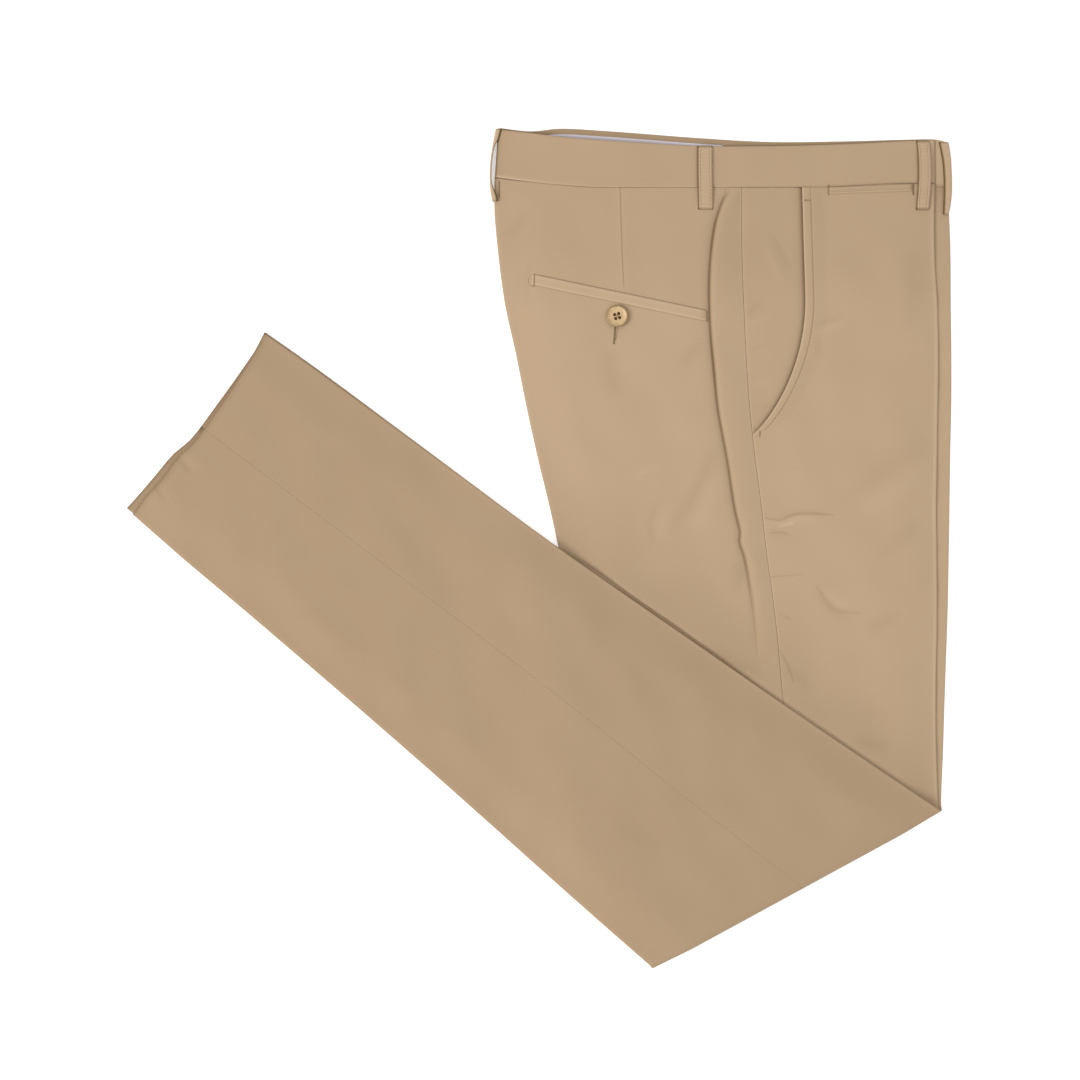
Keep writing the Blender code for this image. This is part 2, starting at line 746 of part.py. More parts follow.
def button():
    """A turned four-hole button: a rim, a dished middle and four holes through it."""
    x, y = BUTTON_AT
    low = STACK + GAP
    mesh_data = bmesh.new()
    rings = []
    for share, height in BUTTON_PROFILE:
        z = low + height * BUTTON_HEIGHT
        if share == 0.0:
            rings.append([mesh_data.verts.new((x, y, z))])
            continue
        turns = [2 * math.pi * n / BUTTON_SIDES for n in range(BUTTON_SIDES)]
        radius = share * BUTTON_RADIUS
        rings.append(
            [mesh_data.verts.new((x + radius * math.cos(a), y + radius * math.sin(a), z)) for a in turns]
        )
    for ring, following in zip(rings, rings[1:]):
        for n in range(BUTTON_SIDES):
            m = (n + 1) % BUTTON_SIDES
            near = [ring[n % len(ring)], ring[m % len(ring)]]
            far = [following[m % len(following)], following[n % len(following)]]
            mesh_data.faces.new(list(dict.fromkeys(near + far)))
    made = add_object("back_pocket_button", mesh_data, BUTTON_COLOUR, 0.45)
    cutter_data = bmesh.new()
    for dx in (-1, 1):
        for dy in (-1, 1):
            turn = bmesh.ops.create_cone(
                cutter_data,
                cap_ends=True,
                segments=BUTTON_HOLE_SIDES,
                radius1=BUTTON_HOLE_RADIUS,
                radius2=BUTTON_HOLE_RADIUS,
                depth=4 * BUTTON_HEIGHT,
            )
            place_at = (x + dx * BUTTON_HOLE_OFFSET, y + dy * BUTTON_HOLE_OFFSET, low)
            bmesh.ops.translate(cutter_data, verts=turn["verts"], vec=place_at)
    cutter = add_object("button_holes", cutter_data, BUTTON_COLOUR)
    cutter.hide_render = True
    cutter.display_type = "WIRE"
    holes = made.modifiers.new("holes", "BOOLEAN")
    holes.operation = "DIFFERENCE"
    holes.object = cutter


def main():
    for existing in list(bpy.data.objects):
        bpy.data.objects.remove(existing, do_unlink=True)
    leg_panels()
    hidden_layers()
    pocket_facing()
    waistbands()
    waistband_lining()
    belt_loops()
    welts()
    button()


main()
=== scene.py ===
# %% [markdown]
# # Chino trousers, folded once and lying flat
# A plain CAD model fixes where every part of these trousers lies. This script dresses it as cloth. Each
# panel becomes a thin sheet with turned-in seams, folded edges and soft creases, and the sewing, the button
# and the twill are added on top. It is built in cells, so every step can be run and looked at by itself.

# %% Load the CAD frame
import math
from collections import namedtuple

import bmesh
import bpy
import numpy as np
from mathutils import Matrix, Vector
from mathutils.bvhtree import BVHTree


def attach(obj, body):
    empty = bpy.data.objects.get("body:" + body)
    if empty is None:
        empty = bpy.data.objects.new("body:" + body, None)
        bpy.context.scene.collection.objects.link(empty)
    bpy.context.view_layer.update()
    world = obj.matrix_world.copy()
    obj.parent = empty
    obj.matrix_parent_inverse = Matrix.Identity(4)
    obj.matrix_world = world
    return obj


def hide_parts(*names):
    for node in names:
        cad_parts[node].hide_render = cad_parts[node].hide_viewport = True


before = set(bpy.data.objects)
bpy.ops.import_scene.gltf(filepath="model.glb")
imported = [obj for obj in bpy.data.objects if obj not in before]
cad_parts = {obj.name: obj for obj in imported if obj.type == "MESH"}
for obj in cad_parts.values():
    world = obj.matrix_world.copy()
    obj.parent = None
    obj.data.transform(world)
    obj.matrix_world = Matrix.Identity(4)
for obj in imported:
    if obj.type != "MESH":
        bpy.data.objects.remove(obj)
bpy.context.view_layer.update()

# %% [markdown]
# ## Camera, floor and light
# Folded clothes are shown from a copy stand: the camera hangs far above the table and looks straight down,
# so nothing leans. A long lens from 2.2 m keeps the edges of the cloth from showing their sides. The light
# is nearly shadowless. A white dome gives most of it, and one large low soft box on the left gives the
# creases a bright side and a dull side. The table is white acrylic with a little light behind it, which is
# how a shop's cut-out pictures lose the shadows round the goods.

# %% Camera, floor and light
MM = 0.001
VIEW_CENTRE = (0.0007, 0.00743)
VIEW_WIDTH = 0.8856  # what the camera sees across, at the cloth's height
CAMERA_HEIGHT, CLOTH_HEIGHT = 2.2, 0.005
FILM_WIDTH = 36  # a full-frame sensor, in mm
TABLE_GLOW = 0.4  # strength of the light behind the table top
TABLE_HALF = 6.0  # half of the table top's side, which runs far past the camera's view
TABLE_CLEAR = 0.2 * MM  # the table top lies this far below the cloth, so that no two faces share a plane


def linear(hex_colour):
    """A shader colour from an sRGB hex value such as "b9a07c"."""
    channels = [int(hex_colour[i : i + 2], 16) / 255 for i in (0, 2, 4)]
    return tuple(c / 12.92 if c <= 0.04045 else ((c + 0.055) / 1.055) ** 2.4 for c in channels) + (1.0,)


def add_node(tree, kind, inputs=(), **settings):
    """Adds a node to a tree, with its settings, and with a value or a link for each named input."""
    node = tree.nodes.new(kind)
    for name, value in settings.items():
        setattr(node, name, value)
    for key, value in dict(inputs).items():
        if isinstance(value, bpy.types.NodeSocket):
            tree.links.new(value, node.inputs[key])
        else:
            node.inputs[key].default_value = value
    return node


def new_object(name, data):
    """An object in the scene for a mesh, a light or a camera."""
    made = bpy.data.objects.new(name, data)
    bpy.context.scene.collection.objects.link(made)
    return made


def new_material(name, looks):
    """A material, its tree and its shader, with constants on the shader's own sockets."""
    made = bpy.data.materials.new(name)
    made.use_nodes = True
    shader = made.node_tree.nodes["Principled BSDF"]
    for socket, value in looks.items():
        shader.inputs[socket].default_value = value
    return made, made.node_tree, shader


def hang_camera():
    data = bpy.data.cameras.new("copy_stand_camera")
    data.sensor_width = FILM_WIDTH
    data.lens = FILM_WIDTH * (CAMERA_HEIGHT - CLOTH_HEIGHT) / VIEW_WIDTH
    data.clip_end = 50
    camera = new_object("copy_stand_camera", data)
    camera.location = (*VIEW_CENTRE, CAMERA_HEIGHT)
    bpy.context.scene.camera = camera
    return camera


def soft_box(name, place, width, watts):
    """A square area light that looks at the middle of the cloth."""
    data = bpy.data.lights.new(name, "AREA")
    data.size = width
    data.energy = watts
    lamp = new_object(name, data)
    lamp.location = place
    lamp.rotation_euler = (-Vector(place)).to_track_quat("-Z", "Y").to_euler()


def white_dome(strength):
    world = bpy.data.worlds.new("white_dome")
    world.use_nodes = True
    background = world.node_tree.nodes["Background"]
    background.inputs["Color"].default_value = linear("ffffff")
    background.inputs["Strength"].default_value = strength
    bpy.context.scene.world = world


def table_top():
    """The pale floor: one large square at the height that the cloth lies on."""
    mesh = bpy.data.meshes.new("table_top")
    sides = ((-1, -1), (1, -1), (1, 1), (-1, 1))
    mesh.from_pydata([(x * TABLE_HALF, y * TABLE_HALF, -TABLE_CLEAR) for x, y in sides], [], [(0, 1, 2, 3)])
    # Opal acrylic sheet: matt, white, and lit a little through its whole thickness
    looks = {"Base Color": linear("f6f6f6"), "Roughness": 0.9}
    looks.update({"Emission Color": linear("ffffff"), "Emission Strength": TABLE_GLOW})
    mesh.materials.append(new_material("backlit_white_acrylic", looks)[0])
    new_object("table_top", mesh)


camera = hang_camera()
white_dome(strength=0.88)
soft_box("left_soft_box", place=(-4.4, -1.4, 3.1), width=2.4, watts=210)
table_top()
bpy.context.scene.view_settings.view_transform = "Standard"
print("lens", round(camera.data.lens, 1), "mm")

# %% [markdown]
# ## The lay of the cloth
# Everything that lies in the stack is placed by rows. A row runs across both legs from the back crease to
# the front crease. Rows go down the thigh, round the knee fold and on over the folded legs to the hem, and
# the tables say where the edges are at each level. They are in millimetres and stay within about 4 mm of
# the CAD model's, which keeps every sheet on its solid. The rows lie about 4 mm apart, so curves are smooth.

# %% Tables of the lay
TO_CENTRE = np.array((0.7, 2.1))  # brings the middle of the outline to the origin
STACK = 5.0  # two legs lying on each other
GAP = 0.3
FOLD_Z = STACK + GAP / 2  # height of the knee fold's axis
# The folded legs come down to the table beyond the thigh: from this far, over this far, and by this much
DRAPE_START, DRAPE_WIDTH, DRAPE_DROP = 12.0, 90.0, STACK + GAP
LIP_REST = 12.0  # least distance from the side fold's lip to the side seam
TUCKED = 1.2  # how far the lower leg's back crease lies inside the upper one's
FOLD_STRIP = 3.0  # width of the left leg's strip outside the knee fold
MOUTH_OPENS = 12.0  # the pocket mouth stands open once it is this far from the side seam
MOUTH_TOP_X, MOUTH_X, MOUTH_BEND_Y, MOUTH_END_Y = 214.8, 217.6, 202.1, 92.3
MOUTH_CURVE = 1.2  # an ellipse has 2; less brings the mouth's foot in on a slant
MOUTH_END_SHARE = 0.3575  # the pocket mouth ends this far down the thigh
# The waist seam rises to the centre back and to the front
BACK_RISE, BACK_RISE_REACH = 8.4, 90.0
FRONT_RISE, FRONT_RISE_FROM, FRONT_RISE_REACH = 3.5, 222.0, 84.0
# Beyond the right leg's front edge only the left leg shows, and its seam lies lower
FRONT_RISE_TO, FRONT_RISE_END = 324.0, 2.5
RISE_ROWS = 0.1  # the rise is gone this share down the thigh
# The panels' top edges dip this far under the waistband's foot, over this length
WAIST_SINK, WAIST_SINK_ROWS = 0.9, 1.4

Level = namedtuple("Level", "y back seam crease strip")
LEVELS = (
    Level(294.8, -37.3, 165.6, 324.0, 11.0),
    Level(270.0, -37.5, 165.6, 323.8, 12.4),
    Level(239.0, -34.4, 165.8, 324.1, 13.2),
    Level(198.0, -28.7, 167.2, 326.4, 11.2),
    Level(157.0, -19.7, 169.2, 327.2, 10.9),
    Level(116.0, -11.5, 171.9, 326.7, 11.4),
    Level(75.0, -2.5, 176.2, 326.1, 11.2),
    Level(34.0, 7.4, 181.5, 325.4, 11.4),
    Level(1.2, 14.8, 185.1, 325.8, 10.6),
    Level(-60.0, 28.9, 193.2, 326.0, 9.3),
    Level(-121.8, 43.1, 199.0, 325.1, 8.2),
    Level(-171.0, 54.3, 203.8, 325.6, 6.2),
    Level(-214.0, 64.0, 208.6, 327.0, 3.0),
    Level(-343.2, 89.8, 221.0, 328.2, 3.0),
)
WAIST_Y = LEVELS[0].y
FOLD_BACK = np.array((89.8, -343.2))
FOLD_FRONT = np.array((327.0, -214.0))
THIGH_BACK_TOP = np.array((14.8, 1.2))
# The folded legs' two edges, from the knee to the hem
LOWER_EDGE = ((89.8, -343.2), (10.5, -273.8), (-105.0, -171.2), (-224.0, -68.5), (-292.6, -10.5))
LOWER_EDGE += ((-334.0, 25.8),)
UPPER_EDGE = ((325.6, -214.6), (219.0, -142.5), (131.0, -81.6), (12.3, 1.2), (-110.3, 92.0))
UPPER_EDGE += ((-180.9, 144.3), (-224.9, 175.4))
# Down the folded legs: the side seam's share of the width, and how far the lower leg stands out in front
SEAM_SHARE = ((0.0, 0.519), (0.2, 0.522), (0.35, 0.530), (0.5, 0.530), (0.6, 0.525), (1.0, 0.494))
UNDER_OUT = ((0.0, -0.8), (0.2, 0.0), (0.35, 1.8), (0.5, 2.2), (0.6, -0.8), (1.0, -0.8))
# The hems' distance from a straight line, towards the knee, at shares of the width from the back crease
HEM_SHARES = (0, 0.09, 0.2, 0.32, 0.42, 0.6, 0.85, 1)
LEFT_HEM = tuple(zip(HEM_SHARES, (-0.8, -0.8, 1.7, 1.8, 5.0, 5.1, 2.6, -1.4)))
RIGHT_HEM = tuple(zip(HEM_SHARES, (-8.0, -6.2, -4.5, -3.0, 1.4, 2.1, 1.6, 0)))
HEM_SWING = 0.93  # the rows begin to follow the hem's line here
# The side fold's lip down the thigh: y, x, how far it stands up, and the painted shade in its overhang
Lip = namedtuple("Lip", "y x rise tone")
SIDE_FOLD = (
    Lip(294.8, 156.0, 0.0, 0.0),
    Lip(290.0, 153.6, 0.5, -1.4),
    Lip(284.0, 150.2, 1.1, -2.2),
    Lip(272.0, 145.6, 1.4, -2.8),
    Lip(259.5, 142.6, 1.5, -3.4),
    Lip(235.0, 139.6, 1.6, -3.2),
    Lip(210.0, 138.6, 1.6, -3.5),
    Lip(177.5, 139.7, 1.6, -3.4),
    Lip(144.7, 142.6, 1.6, -3.9),
    Lip(112.0, 146.0, 1.6, -3.2),
    Lip(71.0, 153.5, 1.5, -2.9),
    Lip(30.0, 159.8, 1.4, -3.0),
    Lip(12.0, 164.0, 1.3, -2.8),
    Lip(4.0, 163.6, 1.2, -2.8),
    Lip(-8.6, 167.6, 1.2, -2.6),
    Lip(-30.0, 171.7, 1.0, -2.0),
    Lip(-52.0, 175.3, 0.8, -1.2),
    Lip(-75.0, 178.3, 0.5, -0.6),
    Lip(-100.0, 181.5, 0.0, 0.0),
    Lip(-343.2, 209.0, 0.0, 0.0),
)
# The dart's line, carried on below its point so that the mesh has no jump
DART_LINE = ((294.8, 65.6), (207.4, 69.2), (100.0, 80.0), (0.0, 96.0), (-343.2, 150.0))
DART_POINT_Y, DART_GROWS = 207.4, 12.0


def smooth_step(share):
    """A soft step: 0 up to 0, 1 from 1 on."""
    share = np.clip(share, 0.0, 1.0)
    return share * share * (3 - 2 * share)


def bell(distance, width):
    """1 on a line, and fading on both sides of it."""
    return np.exp(-((distance / width) ** 2))


def centred(x, y, z):
    """Points in mm in the shared frame, from the tables' x and y."""
    return np.column_stack(np.broadcast_arrays(x + TO_CENTRE[0], y + TO_CENTRE[1], z))


def read_curve(points, at):
    """A smooth curve through (at, value) pairs, with a cubic between neighbours. Also reads many at once."""
    places, values = np.array(sorted(points), float).T
    slopes = np.empty_like(values)
    slopes[1:-1] = (values[2:] - values[:-2]) / (places[2:] - places[:-2])
    slopes[0] = (values[1] - values[0]) / (places[1] - places[0])
    slopes[-1] = (values[-1] - values[-2]) / (places[-1] - places[-2])
    at = np.clip(at, places[0], places[-1])
    i = np.clip(np.searchsorted(places, at) - 1, 0, len(places) - 2)
    width = places[i + 1] - places[i]
    t = (at - places[i]) / width
    curve = (2 * t**3 - 3 * t**2 + 1) * values[i] + (3 * t**2 - 2 * t**3) * values[i + 1]
    return curve + width * ((t**3 - 2 * t**2 + t) * slopes[i] + (t**3 - t**2) * slopes[i + 1])


def column_of(table, key, name):
    """(key, value) pairs from a table, in the key's order."""
    return sorted((getattr(row, key), getattr(row, name)) for row in table)


BACK_LINE, SEAM_LINE, CREASE_LINE, STRIP_LINE = (column_of(LEVELS, "y", name) for name in Level._fields[1:])
LIP_LINE, LIP_RISE, LIP_SHADE = (column_of(SIDE_FOLD, "y", name) for name in Lip._fields[1:])


def smooth_path(points):
    """A smooth line through points, as two curves over the share of its length."""
    steps = [math.dist(a, b) for a, b in zip(points, points[1:])]
    shares = np.concatenate(([0.0], np.cumsum(steps))) / sum(steps)
    return [list(zip(shares, [p[axis] for p in points])) for axis in (0, 1)]


LOWER_PATH = smooth_path(LOWER_EDGE)
UPPER_PATH = smooth_path(UPPER_EDGE)
print("levels", len(LEVELS), "from the waist at", WAIST_Y, "to the knee at", LEVELS[-1].y)

# %% Rows across the stack
ROW_VALUES = "share start along length turn seam lip mouth dart strip"
MORE_VALUES = "rise lip_tone dart_depth under bow hem sink"  # those that are 0 on many rows
Row = namedtuple("Row", ROW_VALUES + " " + MORE_VALUES, defaults=[0.0] * len(MORE_VALUES.split()))
FOLD_ALONG = (FOLD_FRONT - FOLD_BACK) / np.linalg.norm(FOLD_FRONT - FOLD_BACK)
FOLD_OUT = np.array((FOLD_ALONG[1], -FOLD_ALONG[0]))
THIGH_EDGE = (FOLD_BACK - THIGH_BACK_TOP) / np.linalg.norm(FOLD_BACK - THIGH_BACK_TOP)


def crossing(start, along, curve):
    """How far along a row it meets a line x(y)."""
    distance = 0.0
    for _ in range(12):
        point = start + along * distance
        distance += (curve(point[1]) - point[0]) / along[0]
    return float(distance)


def mouth_x(y):
    """The pocket mouth: nearly straight down from the waist, then a blunt curve into the side seam."""
    if y >= MOUTH_BEND_Y:
        return MOUTH_X + (MOUTH_TOP_X - MOUTH_X) * (y - MOUTH_BEND_Y) / (WAIST_Y - MOUTH_BEND_Y)
    foot = read_curve(SEAM_LINE, MOUTH_END_Y)
    down = (MOUTH_BEND_Y - y) / (MOUTH_BEND_Y - MOUTH_END_Y)
    return foot + (MOUTH_X - foot) * max(0.0, 1 - down * down) ** (1 / MOUTH_CURVE)


def waist_rise(x):
    """How far the waist seam lies above a straight line, at its two ends."""
    back = BACK_RISE * np.maximum(0, 1 - (x - BACK_LINE[-1][1]) / BACK_RISE_REACH) ** 1.5
    front = smooth_step((x - FRONT_RISE_FROM) / FRONT_RISE_REACH)
    front *= 1 - smooth_step((x - FRONT_RISE_TO) / FRONT_RISE_END)
    return back + FRONT_RISE * front


def thigh_row(t):
    """The row at a share of the thigh's length, from the waist to the knee."""
    back_y = WAIST_Y + (FOLD_BACK[1] - WAIST_Y) * t
    front_y = WAIST_Y + (FOLD_FRONT[1] - WAIST_Y) * t
    start = np.array((read_curve(BACK_LINE, back_y), back_y))
    end = np.array((read_curve(CREASE_LINE, front_y), front_y))
    length = float(np.linalg.norm(end - start))
    along = (end - start) / length
    seam = crossing(start, along, lambda y: read_curve(SEAM_LINE, y))
    lip = min(crossing(start, along, lambda y: read_curve(LIP_LINE, y)), seam - LIP_REST)
    dart = crossing(start, along, lambda y: read_curve(DART_LINE, y))
    mouth = crossing(start, along, mouth_x) if t < MOUTH_END_SHARE else seam
    lip_y = start[1] + along[1] * lip
    dart_y = start[1] + along[1] * dart
    return Row(
        share=t,
        start=start,
        along=along,
        length=length,
        turn=0.0,
        seam=seam,
        lip=lip,
        rise=read_curve(LIP_RISE, lip_y),
        lip_tone=read_curve(LIP_SHADE, lip_y),
        mouth=max(mouth, seam),
        dart=dart,
        dart_depth=smooth_step((dart_y - DART_POINT_Y) / DART_GROWS),
        strip=read_curve(STRIP_LINE, front_y),
        bow=max(0.0, 1 - t / RISE_ROWS),
        sink=WAIST_SINK * max(0.0, 1 - (WAIST_Y - back_y) / WAIST_SINK_ROWS) ** 2.5,
    )


DART_SHARE = 0.46  # below the knee the dart's columns lie at this share of the back panel


def folded_row(s, turn=math.pi):
    """The row at a share of the folded legs' length, from the knee to the hem. At the knee it turns over."""
    start = np.array([read_curve(axis, s) for axis in LOWER_PATH])
    end = np.array([read_curve(axis, s) for axis in UPPER_PATH])
    end = FOLD_FRONT + (end - FOLD_FRONT) * turn / math.pi
    length = float(np.linalg.norm(end - start))
    seam = length * read_curve(SEAM_SHARE, s)
    return Row(
        share=s,
        start=start,
        along=(end - start) / length,
        length=length,
        turn=turn,
        seam=seam,
        lip=seam - LIP_REST,
        mouth=seam,
        dart=seam * DART_SHARE,
        strip=FOLD_STRIP * (1 - turn / math.pi),
        under=read_curve(UNDER_OUT, s) * smooth_step(turn / math.pi),
        hem=max(0.0, (s - HEM_SWING) / (1 - HEM_SWING)),
    )


# The rows stand closer under the waistband, round the pocket mouth's end and at the hem
WAIST_SHARES = [0.0, 0.0003, 0.0007, 0.0013, 0.0021, 0.0034, 0.0055]
THIGH_SHARES = [*WAIST_SHARES, *np.linspace(0.0095, 0.33, 66), *np.linspace(0.3335, 0.3715, 14)]
THIGH_SHARES += [*np.linspace(0.3765, 1.0, 121)]
FOLD_TURNS = [math.pi * n / 14 for n in range(1, 14)]
FOLDED_SHARES = [*np.linspace(0.0, 0.9, 100), *np.linspace(0.907, 0.9965, 15), 0.9984, 0.9993, 1.0]
rows = [thigh_row(t) for t in THIGH_SHARES]
rows += [folded_row(0.0, turn) for turn in FOLD_TURNS]
rows += [folded_row(s) for s in FOLDED_SHARES]
print("rows", len(rows))

# %% [markdown]
# ## Creases placed one by one
# Pressed cotton that has been folded and unfolded keeps a few soft ridges and hollows: some fan out from
# the side fold and the pocket, some lie where the folded legs press on the thigh. A simulation would put
# them anywhere. Here each is a short line with its own width and height, so each can be put where it
# belongs, and it fades out at both ends. The hidden sides get a few of their own.

# %% Wrinkles
Wrinkle = namedtuple("Wrinkle", "width height points")
THIGH_WRINKLES = (
    Wrinkle(2.5, -0.30, ((184, 21), (195, 23), (202, 27), (213, 29), (228, 28), (242, 27))),
    Wrinkle(4.5, 0.36, ((185, 16), (200, 21), (213, 24), (230, 23))),
    Wrinkle(2.8, -0.30, ((189, 14), (196, 11), (204, 11))),
    Wrinkle(1.6, -0.12, ((172, -25), (194, -24), (216, -23))),
    Wrinkle(3.4, -0.36, ((226, -35), (235, -46), (243, -54), (257, -59))),
    Wrinkle(5.3, 0.25, ((233, -36), (246, -47), (261, -52))),
    Wrinkle(4.9, -0.35, ((269, -70), (283, -62), (297, -54))),
    Wrinkle(6.6, -0.45, ((131, -83), (148, -90), (166, -100), (184, -102))),
    Wrinkle(4.1, -0.35, ((202, -100), (213, -106), (223, -118))),
    Wrinkle(4.9, -0.40, ((258, -159), (275, -162), (289, -167))),
    Wrinkle(2.3, -0.35, ((225, 181), (236, 185), (250, 190))),
    Wrinkle(3.3, 0.28, ((226, 176), (239, 180), (253, 184))),
    Wrinkle(2.8, -0.30, ((228, 171), (230, 163), (231, 155))),
    Wrinkle(5.3, -0.36, ((151, 85), (140, 69), (132, 53), (125, 36), (112, 20), (105, 10))),
    Wrinkle(7.0, 0.20, ((153, 63), (144, 45), (136, 28), (128, 14))),
    Wrinkle(4.1, -0.24, ((102, 43), (94, 28), (92, 14), (94, -5))),
    Wrinkle(5.7, 0.15, ((110, 36), (103, 20), (102, 5))),
    Wrinkle(4.9, -0.35, ((136, 169), (126, 159), (116, 148))),
    Wrinkle(4.9, -0.50, ((162, -11), (165, -23), (161, -39))),
    Wrinkle(4.9, -0.30, ((-29, 253), (-18, 263), (-8, 274))),
    Wrinkle(2.2, -0.28, ((-7, 233), (-11, 223), (-11, 210), (-10, 200))),
    Wrinkle(2.4, -0.18, ((-16, 233), (-18, 219), (-18, 204))),
    Wrinkle(7.4, -0.35, ((59, 164), (60, 145), (64, 122))),
    Wrinkle(2.4, 0.22, ((77, 55), (85, 61), (92, 64), (102, 66))),
    Wrinkle(9.8, -0.26, ((321, 89), (295, 69), (271, 53), (248, 36))),
    Wrinkle(9.8, 0.20, ((316, 63), (287, 45), (262, 28))),
    Wrinkle(9.0, -0.30, ((302, 243), (307, 214), (305, 178))),
    Wrinkle(7.4, -0.30, ((279, -11), (295, 5), (313, 22))),
    # on the pocket's facing
    Wrinkle(2.6, -0.28, ((190, 258), (199, 241), (207, 225))),
    Wrinkle(3.0, 0.22, ((183, 251), (192, 233), (200, 215))),
    Wrinkle(2.5, -0.26, ((170, 191), (177, 197), (186, 202))),
    Wrinkle(2.6, 0.22, ((172, 181), (182, 187), (192, 192))),
    Wrinkle(2.3, -0.22, ((171, 159), (180, 164), (190, 168))),
    Wrinkle(1.8, -0.22, ((174, 114), (182, 115), (190, 114))),
    Wrinkle(2.5, 0.20, ((174, 130), (184, 135), (194, 138))),
)
FOLDED_WRINKLES = (
    Wrinkle(2.6, -0.30, ((-303, 78), (-293, 69), (-285, 59))),
    Wrinkle(3.7, 0.20, ((-295, 79), (-285, 71), (-278, 62))),
    Wrinkle(2.1, -0.30, ((-320, 56), (-312, 45), (-307, 35))),
    Wrinkle(8.2, -0.15, ((41, -47), (48, -68), (52, -85))),
    Wrinkle(8.2, -0.15, ((74, -93), (84, -113), (89, -131))),
    Wrinkle(9.8, -0.14, ((146, -126), (157, -144), (166, -160))),
    Wrinkle(9.8, 0.13, ((-57, -11), (-16, -52), (16, -85))),
    Wrinkle(8.2, -0.12, ((-121, 22), (-107, -1), (-98, -21))),
    Wrinkle(7.4, -0.12, ((-172, -11), (-159, -27), (-138, -41))),
    Wrinkle(9.0, -0.12, ((49, -208), (74, -232), (105, -249))),
)
# The underside is flat on the table but for a few hollows, where the cloth stands clear of it
UNDER_WRINKLES = (
    Wrinkle(5.0, 0.70, ((150, 92), (138, 66), (124, 38), (108, 16))),
    Wrinkle(4.0, 0.55, ((222, 180), (240, 188), (262, 192))),
    Wrinkle(6.5, 0.60, ((186, 18), (212, 27), (246, 24))),
    Wrinkle(5.0, 0.50, ((-26, 250), (-10, 268), (6, 276))),
    Wrinkle(6.0, 0.45, ((262, -60), (284, -74), (300, -96))),
    Wrinkle(4.5, 0.50, ((96, 46), (90, 20), (93, -8))),
    Wrinkle(7.0, 0.45, ((40, 120), (66, 104), (98, 98))),
)
# The folded legs press a narrow trough into the thigh, all along their upper edge
PRESSED = Wrinkle(2.2, -0.15, ((332, -219), (219, -142.5), (131, -81.6), (12, 1.2), (-20, 24)))
# They also keep the light off a wide zone beside it, painted here as shade, and right at their edge a narrow
# painted highlight lightens that shade. The heights of these two are tones, and they run on past both ends
BESIDE_LEGS = ((420, -279), (219, -142.5), (131, -81.6), (12, 1.2), (-120, 92))
BESIDE_LEGS_SHADING = (Wrinkle(48.0, -0.9, BESIDE_LEGS), Wrinkle(3.6, 1.3, BESIDE_LEGS))
# Painted shade makes the cloth a little deeper in tone towards the waist: a tone, and where along y it sets
# in
WAIST_SHADE, WAIST_SHADE_FROM, WAIST_SHADE_REACH = -0.35, 180.0, 70.0


def relief(wrinkles, x, y):
    """Height in mm that the wrinkles add at points. Each has a bell's section and runs out at its ends."""
    total = np.zeros_like(x)
    for wrinkle in wrinkles:
        points = np.array(wrinkle.points, float)
        reach = 3 * wrinkle.width
        low, high = points.min(axis=0) - reach, points.max(axis=0) + reach
        if x.max() < low[0] or x.min() > high[0] or y.max() < low[1] or y.min() > high[1]:
            continue
        steps = np.linalg.norm(points[1:] - points[:-1], axis=1)
        nearest = np.full_like(x, 1e9)
        share = np.zeros_like(x)
        done = 0.0
        for start, end, length in zip(points, points[1:], steps):
            run = (end - start) / length
            t = np.clip((x - start[0]) * run[0] + (y - start[1]) * run[1], 0, length)
            gap = np.hypot(x - start[0] - run[0] * t, y - start[1] - run[1] * t)
            share = np.where(gap < nearest, (done + t) / steps.sum(), share)
            nearest = np.minimum(nearest, gap)
            done += length
        total += wrinkle.height * bell(nearest, wrinkle.width) * np.sin(np.pi * share) ** 0.6
    return total


# Each wave's turns along x and y, in radians for each mm, and its start
WAVES = ((0.081, 0.033, 0.4), (0.047, -0.071, 1.9), (-0.029, 0.104, 3.1), (0.137, 0.058, 5.0))
WAVES += ((0.016, 0.152, 2.2),)
WAVE_HEIGHT = 0.13


def unevenness(x, y):
    """Very slight, wide undulations, as any cloth has. Waves that never line up."""
    bend = 0.02 * x - 0.03 * y
    return WAVE_HEIGHT * sum(np.sin(a * x + b * y + c + 1.3 * np.sin(bend + c)) for a, b, c in WAVES)


print("wrinkles", len(THIGH_WRINKLES), "on the thigh,", len(FOLDED_WRINKLES), "on the folded legs")

# %% [markdown]
# ## From a row to a point
# Each leg is a tube pressed flat, 2.4 mm through in its middle and pinched to 1.1 mm at the creases. So
# the height of a point depends on which leg it is on, on how deep in the tube it lies, and on how far it is
# from that leg's creases. On the thigh the left leg is at the bottom. Past the knee fold the stack lies
# upside down, so the left leg comes to the top, and its free end sinks to the table beside the thigh.

# %% Place points of the stack
TUBE = 2.425  # depth of one leg's flattened tube, and its depth at the creases
TUBE_EDGE = 1.1
TUBE_EASE = 40.0  # the pinch is gone this far from a crease
BETWEEN_LEGS = STACK - 2 * TUBE
WAIST_EDGE, WAIST_EDGE_ROWS = 2.0, 0.14  # the stiff waistband holds the creases open near it
RELIEF_SHADING = 1.0  # painted highlight on ridges and painted shade in hollows, for each mm of a crease's height or depth
LAYER_SHARE = 0.33  # each layer of the stack follows the top's creases by this much less
CALM_ROWS = 0.05  # creases fade out over this share of the length, towards the knee fold


def tube_depth(inside, edge):
    """Depth of a leg's tube this far in from its nearer crease."""
    return edge + (TUBE - edge) * smooth_step(inside / TUBE_EASE)


def leg_edges(row, leg):
    """Distances of a leg's back and front creases along a row."""
    turned = row.turn / math.pi
    if leg == "left":
        return TUCKED * (1 - turned), row.length + row.strip
    return TUCKED * turned, row.length + row.under


